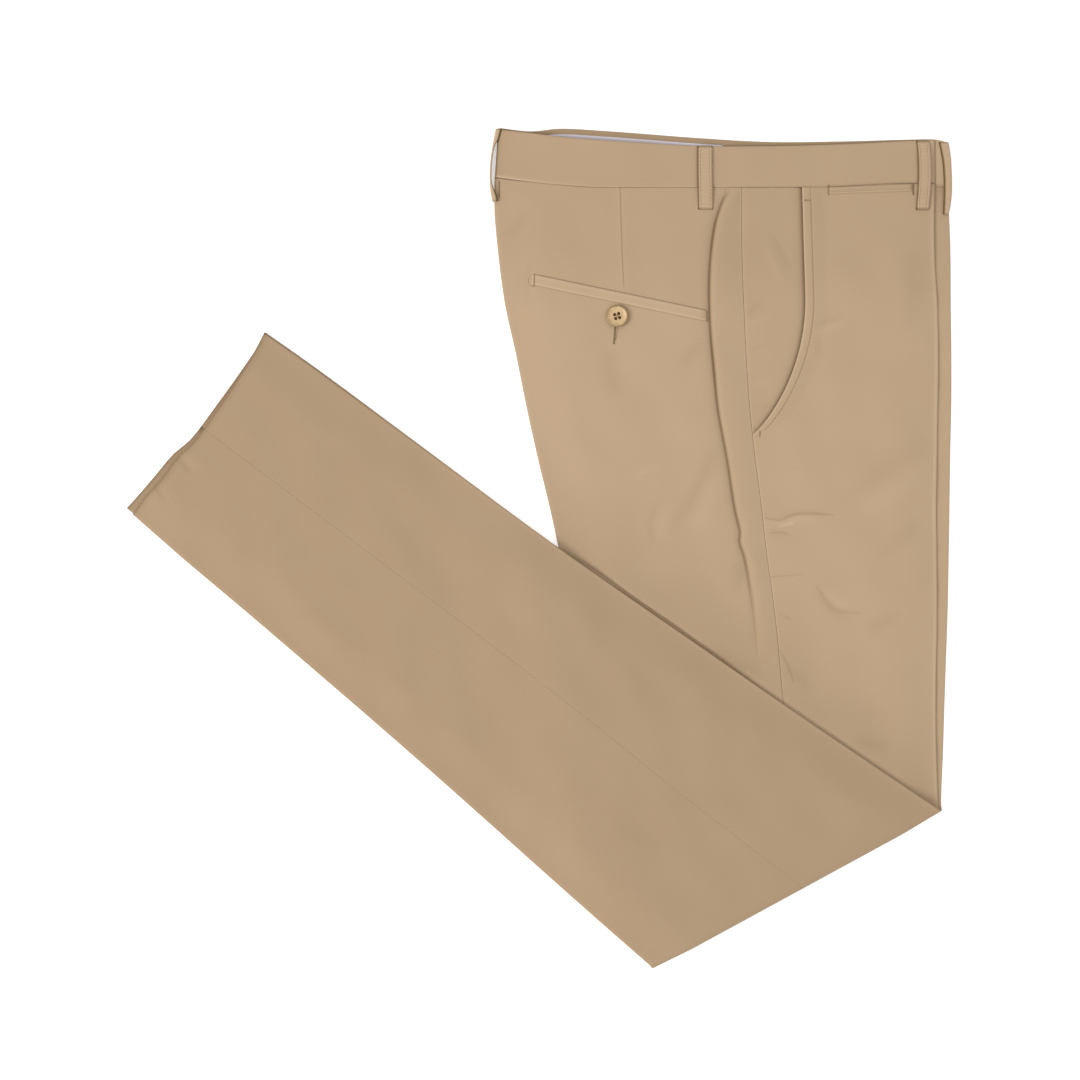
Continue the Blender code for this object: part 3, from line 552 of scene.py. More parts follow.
def skin_heights(row, d, leg):
    """The heights of a leg's outer and inner skins in the unfolded stack."""
    turned = row.turn / math.pi
    held_open = 1 - smooth_step(row.share / WAIST_EDGE_ROWS) if turned == 0 else 0.0
    edge = TUBE_EDGE + (WAIST_EDGE - TUBE_EDGE) * held_open
    depth = {}
    for name in ("left", "right"):
        back, front = leg_edges(row, name)
        depth[name] = tube_depth(np.minimum(d - back, front - d), edge)
    both = depth["left"] + BETWEEN_LEGS + depth["right"]
    if leg == "left":
        outer = turned * (STACK - both)
        return outer, outer + depth["left"]
    outer = both + turned * (STACK - both)
    return outer, outer - depth["right"]


def upper_share(on_top, within):
    """How much a layer follows the top's creases: the upper leg fully, and each layer below it less."""
    return 1 - LAYER_SHARE * within if on_top else LAYER_SHARE * within


def place(row, d, within, sunk, leg):
    """Points of a leg: distances along the row, shares of the tube's depth and mm below the skin.

    The fourth number of each point is the painted shade and highlight that creases and broad shading give the
    cloth there.
    """
    outer, inner = skin_heights(row, d, leg)
    inward = 1 if leg == "left" else -1
    z = outer + (inner - outer) * within + inward * sunk
    flat = row.start + np.outer(d, row.along)
    base = flat.copy()
    flat[:, 1] += row.bow * waist_rise(flat[:, 0])
    if row.hem:
        shift = read_curve(LEFT_HEM if leg == "left" else RIGHT_HEM, d / row.length)
        flat += np.outer(shift * row.hem, (row.along[1], -row.along[0]))
    radius = FOLD_Z - z
    flat += np.outer(radius * math.sin(row.turn), FOLD_OUT)
    height = FOLD_Z - radius * math.cos(row.turn)
    if row.turn == math.pi:
        from_thigh = base - THIGH_BACK_TOP
        away = from_thigh[:, 0] * THIGH_EDGE[1] - from_thigh[:, 1] * THIGH_EDGE[0]
        height -= DRAPE_DROP * smooth_step((away - DRAPE_START) / DRAPE_WIDTH)
        top = upper_share(leg == "left", within)
        calm = smooth_step(row.share / CALM_ROWS)
        raised = top * relief(FOLDED_WRINKLES, *flat.T) * calm
        height += raised + top * unevenness(*flat.T) * calm
        shade = RELIEF_SHADING * raised
    elif row.turn == 0:
        top = upper_share(leg == "right", within)
        calm = smooth_step((1 - row.share) / CALM_ROWS) * smooth_step(row.share / 0.02)
        raised = top * relief(THIGH_WRINKLES, *flat.T) * calm
        height += raised + top * (unevenness(*flat.T) * calm + relief((PRESSED,), *flat.T))
        height += (1 - top) * relief(UNDER_WRINKLES, *flat.T) * calm
        shade = RELIEF_SHADING * raised + top * relief(BESIDE_LEGS_SHADING, *flat.T)
        shade = shade + WAIST_SHADE * smooth_step((flat[:, 1] - WAIST_SHADE_FROM) / WAIST_SHADE_REACH)
    else:
        shade = np.zeros_like(height)
    return np.column_stack((flat + TO_CENTRE, height, shade))


print("stack at the side seam:", np.round(skin_heights(rows[40], np.array([180.0]), "right")[0], 2), "mm")

# %% [markdown]
# ## Twill and the other finishes
# Chinos are cotton twill: fine diagonal lines, matt, with a soft bloom at grazing angles where fibre ends
# stand up. The colour is a pale khaki. Real twill lines are 0.5 mm apart, too fine to show from this far,
# so they are drawn 1.9 mm apart and very faint. The pattern follows each piece's own UV map, which is laid
# out in metres as the cloth was cut, so the lines turn with the cloth and run on round its folds. A "tone"
# attribute on the points paints shade into the valleys of seams and folds and round raised edges, and
# paints highlights on pressed edges and ridges.

# %% Materials
TWILL_LINE = 1.9 * MM  # drawn coarser than the real 0.5 mm, so that it shows at all
TWILL_SLANT = math.radians(58)
WAVE_UNIT = 0.31416  # the wave texture repeats after this many units
YARN = 0.9 * MM  # length of the light and dark flecks of single yarns, also drawn coarse
TWILL_SHARE, FLECK_SHARE, DRIFT_SHARE = 0.13, 0.5, 0.34  # what each pattern adds between dark and light
FLECK_STRETCH = (1.0, 0.45, 1.0)  # the flecks are longer down the cloth than across it
DRIFT_PATCH = 62.5 * MM  # width of the patches of slow drift
WEAVE_HEIGHT = 0.12 * MM  # of the bump that lines and flecks make
BLOOM = 0.22  # weight of the sheen
SHADE_STEP = 0.2  # a tone of -1 paints this much shade, towards the deepest painted shade
DEEPEST_SHADE = (0.24, 0.18, 0.08, 1.0)  # the painted shade's colour in the deepest valley: what is left of red, green and blue light there

# Creases thinner than the mesh is fine, painted only as shade, or as a highlight where the tone is above 0: a
# tone, and points with a half width, all in mm
FineCrease = namedtuple("FineCrease", "tone points")
LONG_CREASE = ((185, 23.4, 0.9), (198.4, 20.9, 2.4), (206.6, 26.7, 2.9), (225.5, 27.1, 2.4), (241, 25.8, 0.6))
FINE_CREASES = (
    FineCrease(-1.0, LONG_CREASE),
    FineCrease(-0.6, ((187, 11.1, 0.6), (198.4, 11.9, 2.2), (206.6, 8.6, 0.8))),
    FineCrease(-0.6, ((173.3, -26.3, 1.4), (216.2, -22.8, 1.1))),
    FineCrease(-0.5, ((226.6, -32.1, 1.2), (234.8, -45.0, 4.2), (241.9, -52.9, 5.2), (261.6, -54.5, 1.5))),
    FineCrease(-0.5, ((195.2, -54.5, 0.8), (204.2, -59.1, 2.4))),
    FineCrease(-0.6, ((196, -84, 1.0), (203, -97, 3.4), (208, -112, 1.0))),
    FineCrease(0.7, ((195.2, 16.0, 0.8), (206.6, 19.3, 2.0))),
)


def crease_share_tree():
    """How near a point is to one piece of a crease: 1 on its line, 0 at its width."""
    tree = bpy.data.node_groups.new("Crease piece", "ShaderNodeTree")
    for name in ("Point", "From", "To"):
        tree.interface.new_socket(name, in_out="INPUT", socket_type="NodeSocketVector")
    for name in ("Start width", "End width"):
        tree.interface.new_socket(name, in_out="INPUT", socket_type="NodeSocketFloat")
    tree.interface.new_socket("Share", in_out="OUTPUT", socket_type="NodeSocketFloat")
    given = add_node(tree, "NodeGroupInput").outputs
    kind = "ShaderNodeVectorMath"
    flat = add_node(tree, kind, {0: given["Point"], 1: (1, 1, 0)}, operation="MULTIPLY").outputs[0]
    run = add_node(tree, kind, {0: given["To"], 1: given["From"]}, operation="SUBTRACT").outputs[0]
    away = add_node(tree, kind, {0: flat, 1: given["From"]}, operation="SUBTRACT").outputs[0]
    passed = add_node(tree, kind, {0: away, 1: run}, operation="DOT_PRODUCT").outputs["Value"]
    whole = add_node(tree, kind, {0: run, 1: run}, operation="DOT_PRODUCT").outputs["Value"]
    part = {0: passed, 1: whole}
    along = add_node(tree, "ShaderNodeMath", part, operation="DIVIDE", use_clamp=True).outputs[0]
    on_line = add_node(tree, kind, {0: run, "Scale": along}, operation="SCALE").outputs[0]
    gap = add_node(tree, kind, {0: away, 1: on_line}, operation="DISTANCE").outputs["Value"]
    widths = {0: along, 2: given["Start width"], 3: given["End width"]}
    width = add_node(tree, "ShaderNodeMix", widths, data_type="FLOAT").outputs[0]
    reach = {"Value": gap, "From Min": width, "From Max": 0.0}
    share = add_node(tree, "ShaderNodeMapRange", reach, interpolation_type="SMOOTHSTEP").outputs[0]
    add_node(tree, "NodeGroupOutput", {"Share": share})
    return tree


crease_share = crease_share_tree()


def round_corners(points):
    """Cuts the corners off a line, twice over, so that it bends softly."""
    for _ in range(2):
        pairs = list(zip(np.array(points), np.array(points)[1:]))
        cut = [a + (b - a) * share for a, b in pairs for share in (0.25, 0.75)]
        points = [points[0], *cut[1:-1], points[-1]]
    return points


def crease_tones(tree, where, tone):
    """Adds the fine creases' painted shade and highlight to a tone inside a material, and returns the sum."""
    for crease in FINE_CREASES:
        near = None
        points = round_corners(crease.points)
        for start, end in zip(points, points[1:]):
            ends = [((x + TO_CENTRE[0]) * MM, (y + TO_CENTRE[1]) * MM, 0.0) for x, y, _ in (start, end)]
            values = {"Point": where, "From": ends[0], "To": ends[1]}
            values.update({"Start width": start[2] * MM, "End width": end[2] * MM})
            share = add_node(tree, "ShaderNodeGroup", values, node_tree=crease_share).outputs[0]
            if near is not None:
                share = add_node(tree, "ShaderNodeMath", {0: near, 1: share}, operation="MAXIMUM").outputs[0]
            near = share
        added = {0: near, 1: crease.tone, 2: tone}
        tone = add_node(tree, "ShaderNodeMath", added, operation="MULTIPLY_ADD").outputs[0]
    return tone


def cloth_material(name, light, dark, sheen=BLOOM, twill=1.0, roughness=0.92, creased=False):
    """Woven cotton: diagonal lines and flecks in its own UV space, a slow drift of tone, and the tone
    attribute's painted shade and highlight.
    """
    looks = {"Roughness": roughness, "Specular IOR Level": 0.22}
    looks.update({"Sheen Weight": sheen, "Sheen Roughness": 0.45})
    made, tree, shader = new_material(name, looks)
    where = add_node(tree, "ShaderNodeTexCoord").outputs
    slanted = {"Vector": where["UV"], "Rotation": (0, 0, TWILL_SLANT)}
    slant = add_node(tree, "ShaderNodeMapping", slanted).outputs[0]
    wave = {"Vector": slant, "Scale": WAVE_UNIT / TWILL_LINE}
    wave.update({"Distortion": 0.6, "Detail": 1.0, "Detail Scale": 2.0})
    lines = add_node(tree, "ShaderNodeTexWave", wave).outputs["Color"]
    along = add_node(tree, "ShaderNodeMapping", {"Vector": where["UV"], "Scale": FLECK_STRETCH}).outputs[0]
    fine = {"Vector": along, "Scale": 1 / YARN, "Detail": 2.0}
    flecks = add_node(tree, "ShaderNodeTexNoise", fine).outputs["Fac"]
    wide = {"Vector": where["Object"], "Scale": 1 / DRIFT_PATCH, "Detail": 2.0}
    drift = add_node(tree, "ShaderNodeTexNoise", wide).outputs["Fac"]
    tone = 0.0
    for source, weight in ((lines, TWILL_SHARE * twill), (flecks, FLECK_SHARE), (drift, DRIFT_SHARE)):
        added = {0: source, 1: weight, 2: tone}
        tone = add_node(tree, "ShaderNodeMath", added, operation="MULTIPLY_ADD").outputs[0]
    given = add_node(tree, "ShaderNodeAttribute", attribute_name="tone").outputs["Fac"]
    if creased:
        given = crease_tones(tree, where["Object"], given)
    # The tone attribute above 0 is a painted highlight, carried past the light yarns' colour
    paler = add_node(tree, "ShaderNodeMath", {0: given, 1: 0.0}, operation="MAXIMUM").outputs[0]
    tone = add_node(tree, "ShaderNodeMath", {0: tone, 1: paler}, operation="ADD").outputs[0]
    yarns = {0: tone, 6: linear(dark), 7: linear(light)}
    open_ended = {"clamp_factor": False, "clamp_result": True}
    colour = add_node(tree, "ShaderNodeMix", yarns, data_type="RGBA", **open_ended).outputs[2]
    # The tone attribute below 0 is painted shade, which multiplies the colour towards the deepest painted
    # shade
    depth = {0: given, 1: -SHADE_STEP}
    painted_shade = add_node(tree, "ShaderNodeMath", depth, operation="MULTIPLY", use_clamp=True).outputs[0]
    valley = {0: painted_shade, 6: colour, 7: DEEPEST_SHADE}
    shaded = add_node(tree, "ShaderNodeMix", valley, data_type="RGBA", blend_type="MULTIPLY").outputs[2]
    tree.links.new(shaded, shader.inputs["Base Color"])
    weave = add_node(tree, "ShaderNodeMath", {0: lines, 1: flecks}, operation="ADD").outputs[0]
    raised = {"Height": weave, "Strength": 0.25, "Distance": WEAVE_HEIGHT}
    tree.links.new(add_node(tree, "ShaderNodeBump", raised).outputs[0], shader.inputs["Normal"])
    return made


# Khaki cotton twill: matt, faintly flecked, with painted highlights on pressed edges and painted shade in
# valleys
khaki_twill = cloth_material("khaki_cotton_twill", "b69d80", "a98f72")
# The same twill with the fine creases that cross the right front of the thigh, painted as shade and highlight
creased_twill = cloth_material("khaki_cotton_twill_creased", "b69d80", "a98f72", creased=True)
# The twill's wrong side, where the undyed cores of the yarns show: paler and greyer
twill_reverse = cloth_material("khaki_twill_wrong_side", "b0a393", "a09383", twill=0.4)
# White pocketing cotton of the waistband's lining: plain weave, cool white
white_lining = cloth_material("white_cotton_pocketing", "e2dce6", "d4ced8", sheen=0.1, twill=0.2)
# Spun polyester thread, dyed to match, and slightly darker than the cloth as painted shade, as it lies in its
# own holes
tonal_thread = cloth_material("khaki_sewing_thread", "a58b6c", "92785a", sheen=0.3, twill=0.0, roughness=0.7)
# The thread under the button is dark brown, and it fills the holes nearly black, as painted shade for their
# depth
hole_shade_thread = cloth_material("brown_button_thread_and_hole_shade", "5c3b19", "45290f", sheen=0.1, twill=0.0, roughness=0.8)
# What crosses the button's dish is the colour of its resin
button_thread = cloth_material("sand_button_thread", "b08c5a", "97743f", sheen=0.2, twill=0.0, roughness=0.7)
# Buttonhole twist: thicker, slightly glossy silk-like polyester, brown
hole_twist = cloth_material("brown_buttonhole_twist", "937858", "775f42", sheen=0.2, twill=0.0, roughness=0.6)
threads = (tonal_thread, hole_shade_thread, button_thread, hole_twist)
print("materials", [m.name for m in (khaki_twill, creased_twill, twill_reverse, white_lining) + threads])

# %% [markdown]
# ## A sheet from a grid of points
# A garment piece is a grid: rows down the piece, columns across it. The grid gets a UV map in metres from
# its own lengths, which is the shape that it was cut to, and a Solidify modifier gives it the thickness of
# the cloth. The area of that flat pattern is printed with the piece's size.

# %% Cloth sheets
CLOTH_WALL = 0.5


def grid_mesh(name, points, tones, across, down, flip):
    """A mesh from rows of points in mm, with the flat pattern's lengths in mm as its UV map."""
    count, width = points.shape[:2]
    mesh = bpy.data.meshes.new(name)
    corner = np.arange(count * width).reshape(count, width)
    around = (corner[:-1, :-1], corner[:-1, 1:], corner[1:, 1:], corner[1:, :-1])
    quads = np.stack(around, axis=-1).reshape(-1, 4)
    if flip:
        quads = quads[:, ::-1]
    mesh.from_pydata((points * MM).reshape(-1, 3).tolist(), [], quads.tolist())
    mesh.polygons.foreach_set("use_smooth", [True] * len(quads))
    flat = np.stack((across, down), axis=-1).reshape(-1, 2) * MM
    mesh.uv_layers.new(name="cut").data.foreach_set("uv", flat[quads.reshape(-1)].reshape(-1))
    mesh.attributes.new("tone", "FLOAT", "POINT").data.foreach_set("value", tones.reshape(-1))
    mesh.update()
    return mesh


def lengths_across(points, from_column):
    """Lengths along each row, counted from one column."""
    steps = np.linalg.norm(points[:, 1:] - points[:, :-1], axis=2)
    across = np.concatenate((np.zeros((len(points), 1)), np.cumsum(steps, axis=1)), axis=1)
    return across - across[:, from_column : from_column + 1]


def lengths_down(points, column):
    """Lengths down one column, the same for every column of a row."""
    steps = np.linalg.norm(points[1:, column] - points[:-1, column], axis=1)
    down = np.concatenate(([0.0], np.cumsum(steps)))
    return np.repeat(down[:, None], points.shape[1], axis=1)


def finish_piece(piece, slot, *nodes):
    """Puts a piece on the one body and hides the CAD nodes that it replaces, if any. Its slot is not used."""
    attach(piece, "root")
    if nodes:
        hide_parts(*nodes)
    return piece


def cloth_sheet(
    name, points, tones, nodes, facing, base_column, down_column=None,
    surfaces=(khaki_twill, twill_reverse), wall=CLOTH_WALL, slot="cotton_twill",
):
    """A finished sheet of cloth from rows of points, with a tone for each.

    facing is (row, column, up) of a quad that looks up, or down where up is -1. The flat pattern is
    measured across from base_column, and down along down_column or else base_column.
    """
    across = lengths_across(points, base_column)
    down = lengths_down(points, base_column if down_column is None else down_column)
    row, column, up = facing
    edge_a = points[row, column + 1] - points[row, column]
    edge_b = points[row + 1, column] - points[row, column]
    mesh = grid_mesh(name, points, tones, across, down, flip=np.cross(edge_a, edge_b)[2] * up < 0)
    for surface in surfaces:
        mesh.materials.append(surface)
    piece = new_object(name, mesh)
    solid = piece.modifiers.new("thickness", "SOLIDIFY")
    solid.thickness = wall * MM
    solid.offset = -1
    solid.material_offset = len(surfaces) - 1
    finish_piece(piece, slot, *nodes)
    strips = (across[:-1, -1] - across[:-1, 0] + across[1:, -1] - across[1:, 0]) / 2
    area = float(np.sum(strips * (down[1:, 0] - down[:-1, 0]))) * MM * MM
    flat = (float(across.max() - across.min()) * MM, float(down.max()) * MM)
    area = min(area, flat[0] * flat[1])
    size = f"{flat[0] / MM:.0f} x {flat[1] / MM:.0f} mm, {area:.4f} m2"
    print(f"{name}: cut {size}, {len(mesh.polygons)} quads")
    return piece


# %% [markdown]
# ## Leg panels
# A front or back panel is one piece of cloth from the side seam, over the outside of the leg, round its
# crease and back underneath to the inseam. So each is built here as one sheet with both halves, and the two
# tubes that they make show rightly at the creases and at the hem. Seams are pressed open, so each panel
# ends in a narrow turned-under edge with a small radius, and the two radii make the seam's soft valley.

# %% Sections of a panel
# A turned-under edge: how far in from the edge, and how deep below the outside
TURNED_EDGE = ((11, 1.0), (5, 1.02), (1.2, 1.02), (0.55, 0.99), (0.16, 0.83), (0, 0.52), (0.13, 0.22))
TURNED_EDGE += ((0.42, 0.09), (0.9, 0.02))
# A crease: how far in from it, and the share of the tube's depth
CREASE = ((8, 0), (5.5, 0), (3.8, 0), (2.7, 0), (1.9, 0.01), (1.25, 0.04), (0.75, 0.1), (0.35, 0.2))
CREASE += ((0.08, 0.36),)
CREASE += tuple((far, 1 - within) for far, within in reversed(CREASE)) + ((12, 1),)
# The side fold's overhanging lip, from the bulge towards the seat: flat and full offsets from the lip
# towards the seam, and heights as shares of its rise
LIP_SECTION = (
    (8.0, 8.0, 1.10),
    (6.0, 6.0, 1.16),
    (4.4, 4.4, 1.18),
    (3.2, 3.2, 1.12),
    (2.2, 2.2, 0.98),
    (1.5, 1.35, 0.76),
    (0.9, 0.7, 0.46),
    (0.4, 0.4, 0.12),
    (0.0, 0.6, -0.2),
    (-0.4, 1.3, -0.45),
    (-0.8, 1.5, -0.62),
    (-1.2, 0.7, -0.68),
    (-1.8, -0.5, -0.64),
    (-2.6, -1.7, -0.50),
    (-3.8, -3.2, -0.30),
    (-5.6, -5.4, -0.12),
    (-8.5, -8.5, -0.02),
    (-14.0, -14.0, 0.0),
)
FULL_RISE = 1.6
# The dart: offsets towards the seam and mm below the outside
DART_SECTION = ((5.0, 0), (2.2, 0.03), (1.4, 0.1), (0.9, 0.2), (0.5, 0.32), (0.2, 0.34), (-0.1, 0.12))
DART_SECTION += ((-0.5, -0.1), (-1.2, -0.16), (-2.4, -0.08), (-6.0, 0))
# The pocket mouth's folded edge: distances in from it, how far it stands up, and its topstitched groove
MOUTH_RISE = ((0.0, 1.15), (7.0, 0.9), (18.0, 0.0))
MOUTH_OFFSETS = (1.6, 2.6, 4.2, 5.6, 6.2, 6.6, 7.0, 7.4, 7.8, 8.6, 10.2, 12.6, 15.2, 18.0)
STITCH_LINE, STITCH_GROOVE = 7.0, 0.32
HALF_GAP = 0.05  # a panel ends this far from its side seam's line
INNER_COLUMNS = 10  # across a panel's half that lies underneath
SEAT_DEPTH, FLY_DEPTH = 14.0, 60.0  # how far the back and the front go on underneath, above the crotch
CROTCH_FROM, CROTCH_REACH = 0.18, 0.24  # shares of the thigh's length


def seam_tightness(row):
    """How open a side seam's valley is: soft on the thigh, pressed flat on the lower legs."""
    return 1.0 - 0.72 * smooth_step(row.turn / math.pi)


def inner_reach(row, side, full):
    """How far a panel goes on beyond its crease, underneath: to the inseam, or to the seat or the fly."""
    if row.turn:
        return full
    short = SEAT_DEPTH if side == "back" else FLY_DEPTH
    return short + (full - short) * smooth_step((row.share - CROTCH_FROM) / CROTCH_REACH)


# Tone 1 is the step from the cloth's dark to its light yarns. Valleys that no light reaches get painted
# shade, a deep tone, and pressed edges get a painted highlight, a pale one.
# A seam's turned edge, by distance in: a painted highlight on the edge and a little painted shade beyond it
SEAM_SHADING = ((0.0, 0.3), (0.5, 0.2), (1.6, -0.1), (2.4, 0.0))
LIP_SHADE_WIDTHS = (1.15, 1.5)  # widths of the lip's painted shade, towards the seat and towards the seam
# Painted highlight on the pocket mouth's folded edge, by distance in from it
MOUTH_HIGHLIGHT = ((0.0, 0.7), (1.4, 0.3), (3.0, 0.0), (20.0, 0.0))
# Painted shade in the stitched groove, and a painted highlight and painted shade on the two sides of the dart
GROOVE_SHADE, DART_HIGHLIGHT, DART_SHADE = -0.8, 0.5, -0.35
FOLDED_SHADE = -1.05  # painted shade: the folded legs look a shade deeper, as their twill lies another way to the light
BEND_TONE = -1.0  # the knee fold's side gets less light
# A painted highlight just inside a pressed crease
CREASE_HIGHLIGHT = 0.75
# Painted shade along the folded legs' hem edge, and the share down them where it sets in
HEM_SHADE, HEM_SHADE_FROM = -1.8, 0.9948
# The painted shade round the rounded edge of a front crease along the upper edge of the folded legs, and its
# width
UPPER_RIM_SHADE = ((0.0, -0.8), (0.5, -0.9), (0.58, -0.6), (0.75, -1.6), (0.88, -3.0), (1.0, -3.0))
RIM_SHADE_WIDTH = ((0.0, 0.55), (0.52, 0.55), (0.7, 1.3), (1.0, 1.6))


def crease_tone(row, leg, side, far, within):
    """Tone across a pressed crease: a painted highlight just inside it, painted shade round its edge."""
    turned = row.turn / math.pi
    rim, rim_width = -0.5, RIM_SHADE_WIDTH[0][1]
    if side == "front" and turned == 0:
        rim = -0.6 if leg == "right" else 0.0
    if side == "front" and leg == "left" and turned == 1:
        rim, rim_width = (read_curve(table, row.share) for table in (UPPER_RIM_SHADE, RIM_SHADE_WIDTH))
    pale = CREASE_HIGHLIGHT * (1 if side == "front" and not turned else 0.4) * bell(far - 1.9, 1.3)
    if within > 0.5:
        # The lower leg's strip lies under the upper leg's edge and gets painted shade
        under_layer = leg == "right" and side == "front" and turned == 1
        return rim - 1.3 * bell(far, 4.0) if under_layer else rim * math.exp(-far / 0.8)
    return pale + rim * bell(far, rim_width)


def plain_columns(first, last, count):
    """Columns of unshaped cloth, evenly between two distances along a row."""
    return [(d, 0, 0, 0) for d in np.linspace(first, last, count + 2)[1:-1]]


def back_columns(row, leg, proud):
    """Across the outside of a back panel: its turned edge, the side fold's bulge and lip, and the dart."""
    tight = seam_tightness(row)
    edge = row.seam - HALF_GAP * tight
    rise = row.rise * proud
    grown = rise / FULL_RISE
    columns = []
    for far, depth in TURNED_EDGE:
        tone = read_curve(SEAM_SHADING, far) * tight
        shallow = depth * (tight if depth < 0.9 else 1)
        columns.append((edge - far * (tight if far < 2 else 1), 0, shallow, tone))
    bulge_from, bulge_to = edge - 1.6, row.lip + LIP_SECTION[0][0]
    for q in np.linspace(0.06, 0.92, 12):
        height = LIP_SECTION[0][2] * rise * (1.25 * q - 0.25 * q * q)
        columns.append((bulge_from + (bulge_to - bulge_from) * q, 0, -height, 0))
    for flat, full, height in LIP_SECTION:
        # painted shade under the lip's overhang
        tone = row.lip_tone * proud * bell(full, LIP_SHADE_WIDTHS[full > 0])
        columns.append((row.lip + flat + (full - flat) * grown, 0, -height * rise, tone))
    columns += plain_columns(row.lip + LIP_SECTION[-1][0], row.dart + DART_SECTION[0][0], 20)
    strength = row.dart_depth * proud
    for offset, depth in DART_SECTION:
        tone = DART_HIGHLIGHT * bell(offset + 1.0, 0.7) + DART_SHADE * bell(offset - 0.5, 0.8)
        columns.append((row.dart + offset, 0, depth * strength, tone * strength))
    return columns + plain_columns(row.dart + DART_SECTION[-1][0], leg_edges(row, leg)[0] + CREASE[0][0], 26)


def front_columns(row, leg, proud):
    """Across the outside of a front panel: its turned edge, or the pocket mouth with its stitched groove."""
    tight = seam_tightness(row)
    mouth = row.mouth if proud else row.seam
    opened = min(1.0, (mouth - row.seam) / MOUTH_OPENS)
    edge = mouth + HALF_GAP * tight
    spread = tight * (1 - opened) + opened
    columns = []
    for far, depth in TURNED_EDGE:
        lift = read_curve(MOUTH_RISE, far) * opened
        tone = read_curve(SEAM_SHADING, far) * tight * (1 - opened)
        tone += read_curve(MOUTH_HIGHLIGHT, far) * opened * (depth < 0.3)
        shallow = depth * (spread if depth < 0.9 else 1)
        columns.append((edge + far * (spread if far < 2 else 1), 0, shallow - lift, tone))
    for far in MOUTH_OFFSETS:
        lift = read_curve(MOUTH_RISE, far) * opened
        groove = bell(far - STITCH_LINE, 0.5) * opened
        tone = read_curve(MOUTH_HIGHLIGHT, far) * opened + GROOVE_SHADE * groove
        columns.append((edge + far, 0, STITCH_GROOVE * groove - lift, tone))
    return columns + plain_columns(edge + MOUTH_OFFSETS[-1], leg_edges(row, leg)[1] - CREASE[0][0], 42)


def panel_columns(row, leg, side):
    """(distance along the row, share of the tube's depth, mm below the skin, tone) across a leg panel."""
    proud = 1.0 if leg == "right" else 0.0
    back, front = leg_edges(row, leg)
    if side == "back":
        columns = back_columns(row, leg, proud)
        crease, direction, full_reach = back, 1, row.seam
    else:
        columns = front_columns(row, leg, proud)
        crease, direction, full_reach = front, -1, front - row.seam
    for far, within in CREASE:
        columns.append((crease + direction * far, within, 0, crease_tone(row, leg, side, far, within)))
    first = CREASE[-1][0]
    for far in np.linspace(first, inner_reach(row, side, full_reach), INNER_COLUMNS + 1)[1:]:
        columns.append((crease + direction * far, 1, 0, 0))
    return np.array(columns)


def panel_points(leg, side):
    """The points of a leg panel in mm, row by row, and their tones."""
    points, tones = [], []
    for row in rows:
        d, within, sunk, tone = panel_columns(row, leg, side).T
        placed = place(row, d, within, sunk + row.sink, leg)
        turned = row.turn / math.pi
        tone = tone + placed[:, 3] + FOLDED_SHADE * smooth_step(turned) + BEND_TONE * math.sin(row.turn) ** 4
        if turned == 1:
            tone += HEM_SHADE * smooth_step((row.share - HEM_SHADE_FROM) / (1 - HEM_SHADE_FROM))
        points.append(placed[:, :3])
        tones.append(tone)
    return np.array(points), np.array(tones)


panels = {}
for leg in ("right", "left"):
    for side in ("back", "front"):
        points, tones = panel_points(leg, side)
        outer_face = creased_twill if (leg, side) == ("right", "front") else khaki_twill
        panels[leg, side] = cloth_sheet(
            f"{leg}_{side}_leg_cloth",
            points,
            tones,
            nodes=(f"{leg}_{side}_panel", "hidden_layers"),
            facing=(60, 32, 1 if leg == "right" else -1),
            base_column=points.shape[1] - INNER_COLUMNS - len(CREASE) // 2 - 1,
            surfaces=(outer_face, twill_reverse),
        )

# %% [markdown]
# ## Pocket facing
# Behind the curved mouth lies the facing, a piece of the same twill that carries the pocket bag. It starts
# flat at the side seam, dips where the mouth's edge stands over it and runs on underneath, so the mouth
# keeps a real gap, which painted shade darkens.

# %% Pocket facing
FACING_DIP = ((0.0, 1.3), (2.0, 0.85), (4.5, 0.35), (9.0, 0.04), (14.0, 0.0))  # before the mouth's edge
FACING_UNDER = ((1.5, 1.35), (4.0, 1.4), (8.0, 1.7))  # beyond it, below the mouth's turned edge
# Painted shade in the gap under the mouth's edge, by distance before it
FACING_GAP_SHADE = ((0.0, -2.1), (0.8, -2.0), (1.6, -1.2), (2.6, -0.4), (4.0, 0.0), (400.0, 0.0))
FACING_NARROWEST, FACING_FULL_WIDTH = 0.6, 18.0
FACING_SHADE = -0.2
FACING_SINK = 0.9  # where the mouth is shut, the facing's hidden edge lies deeper by this much


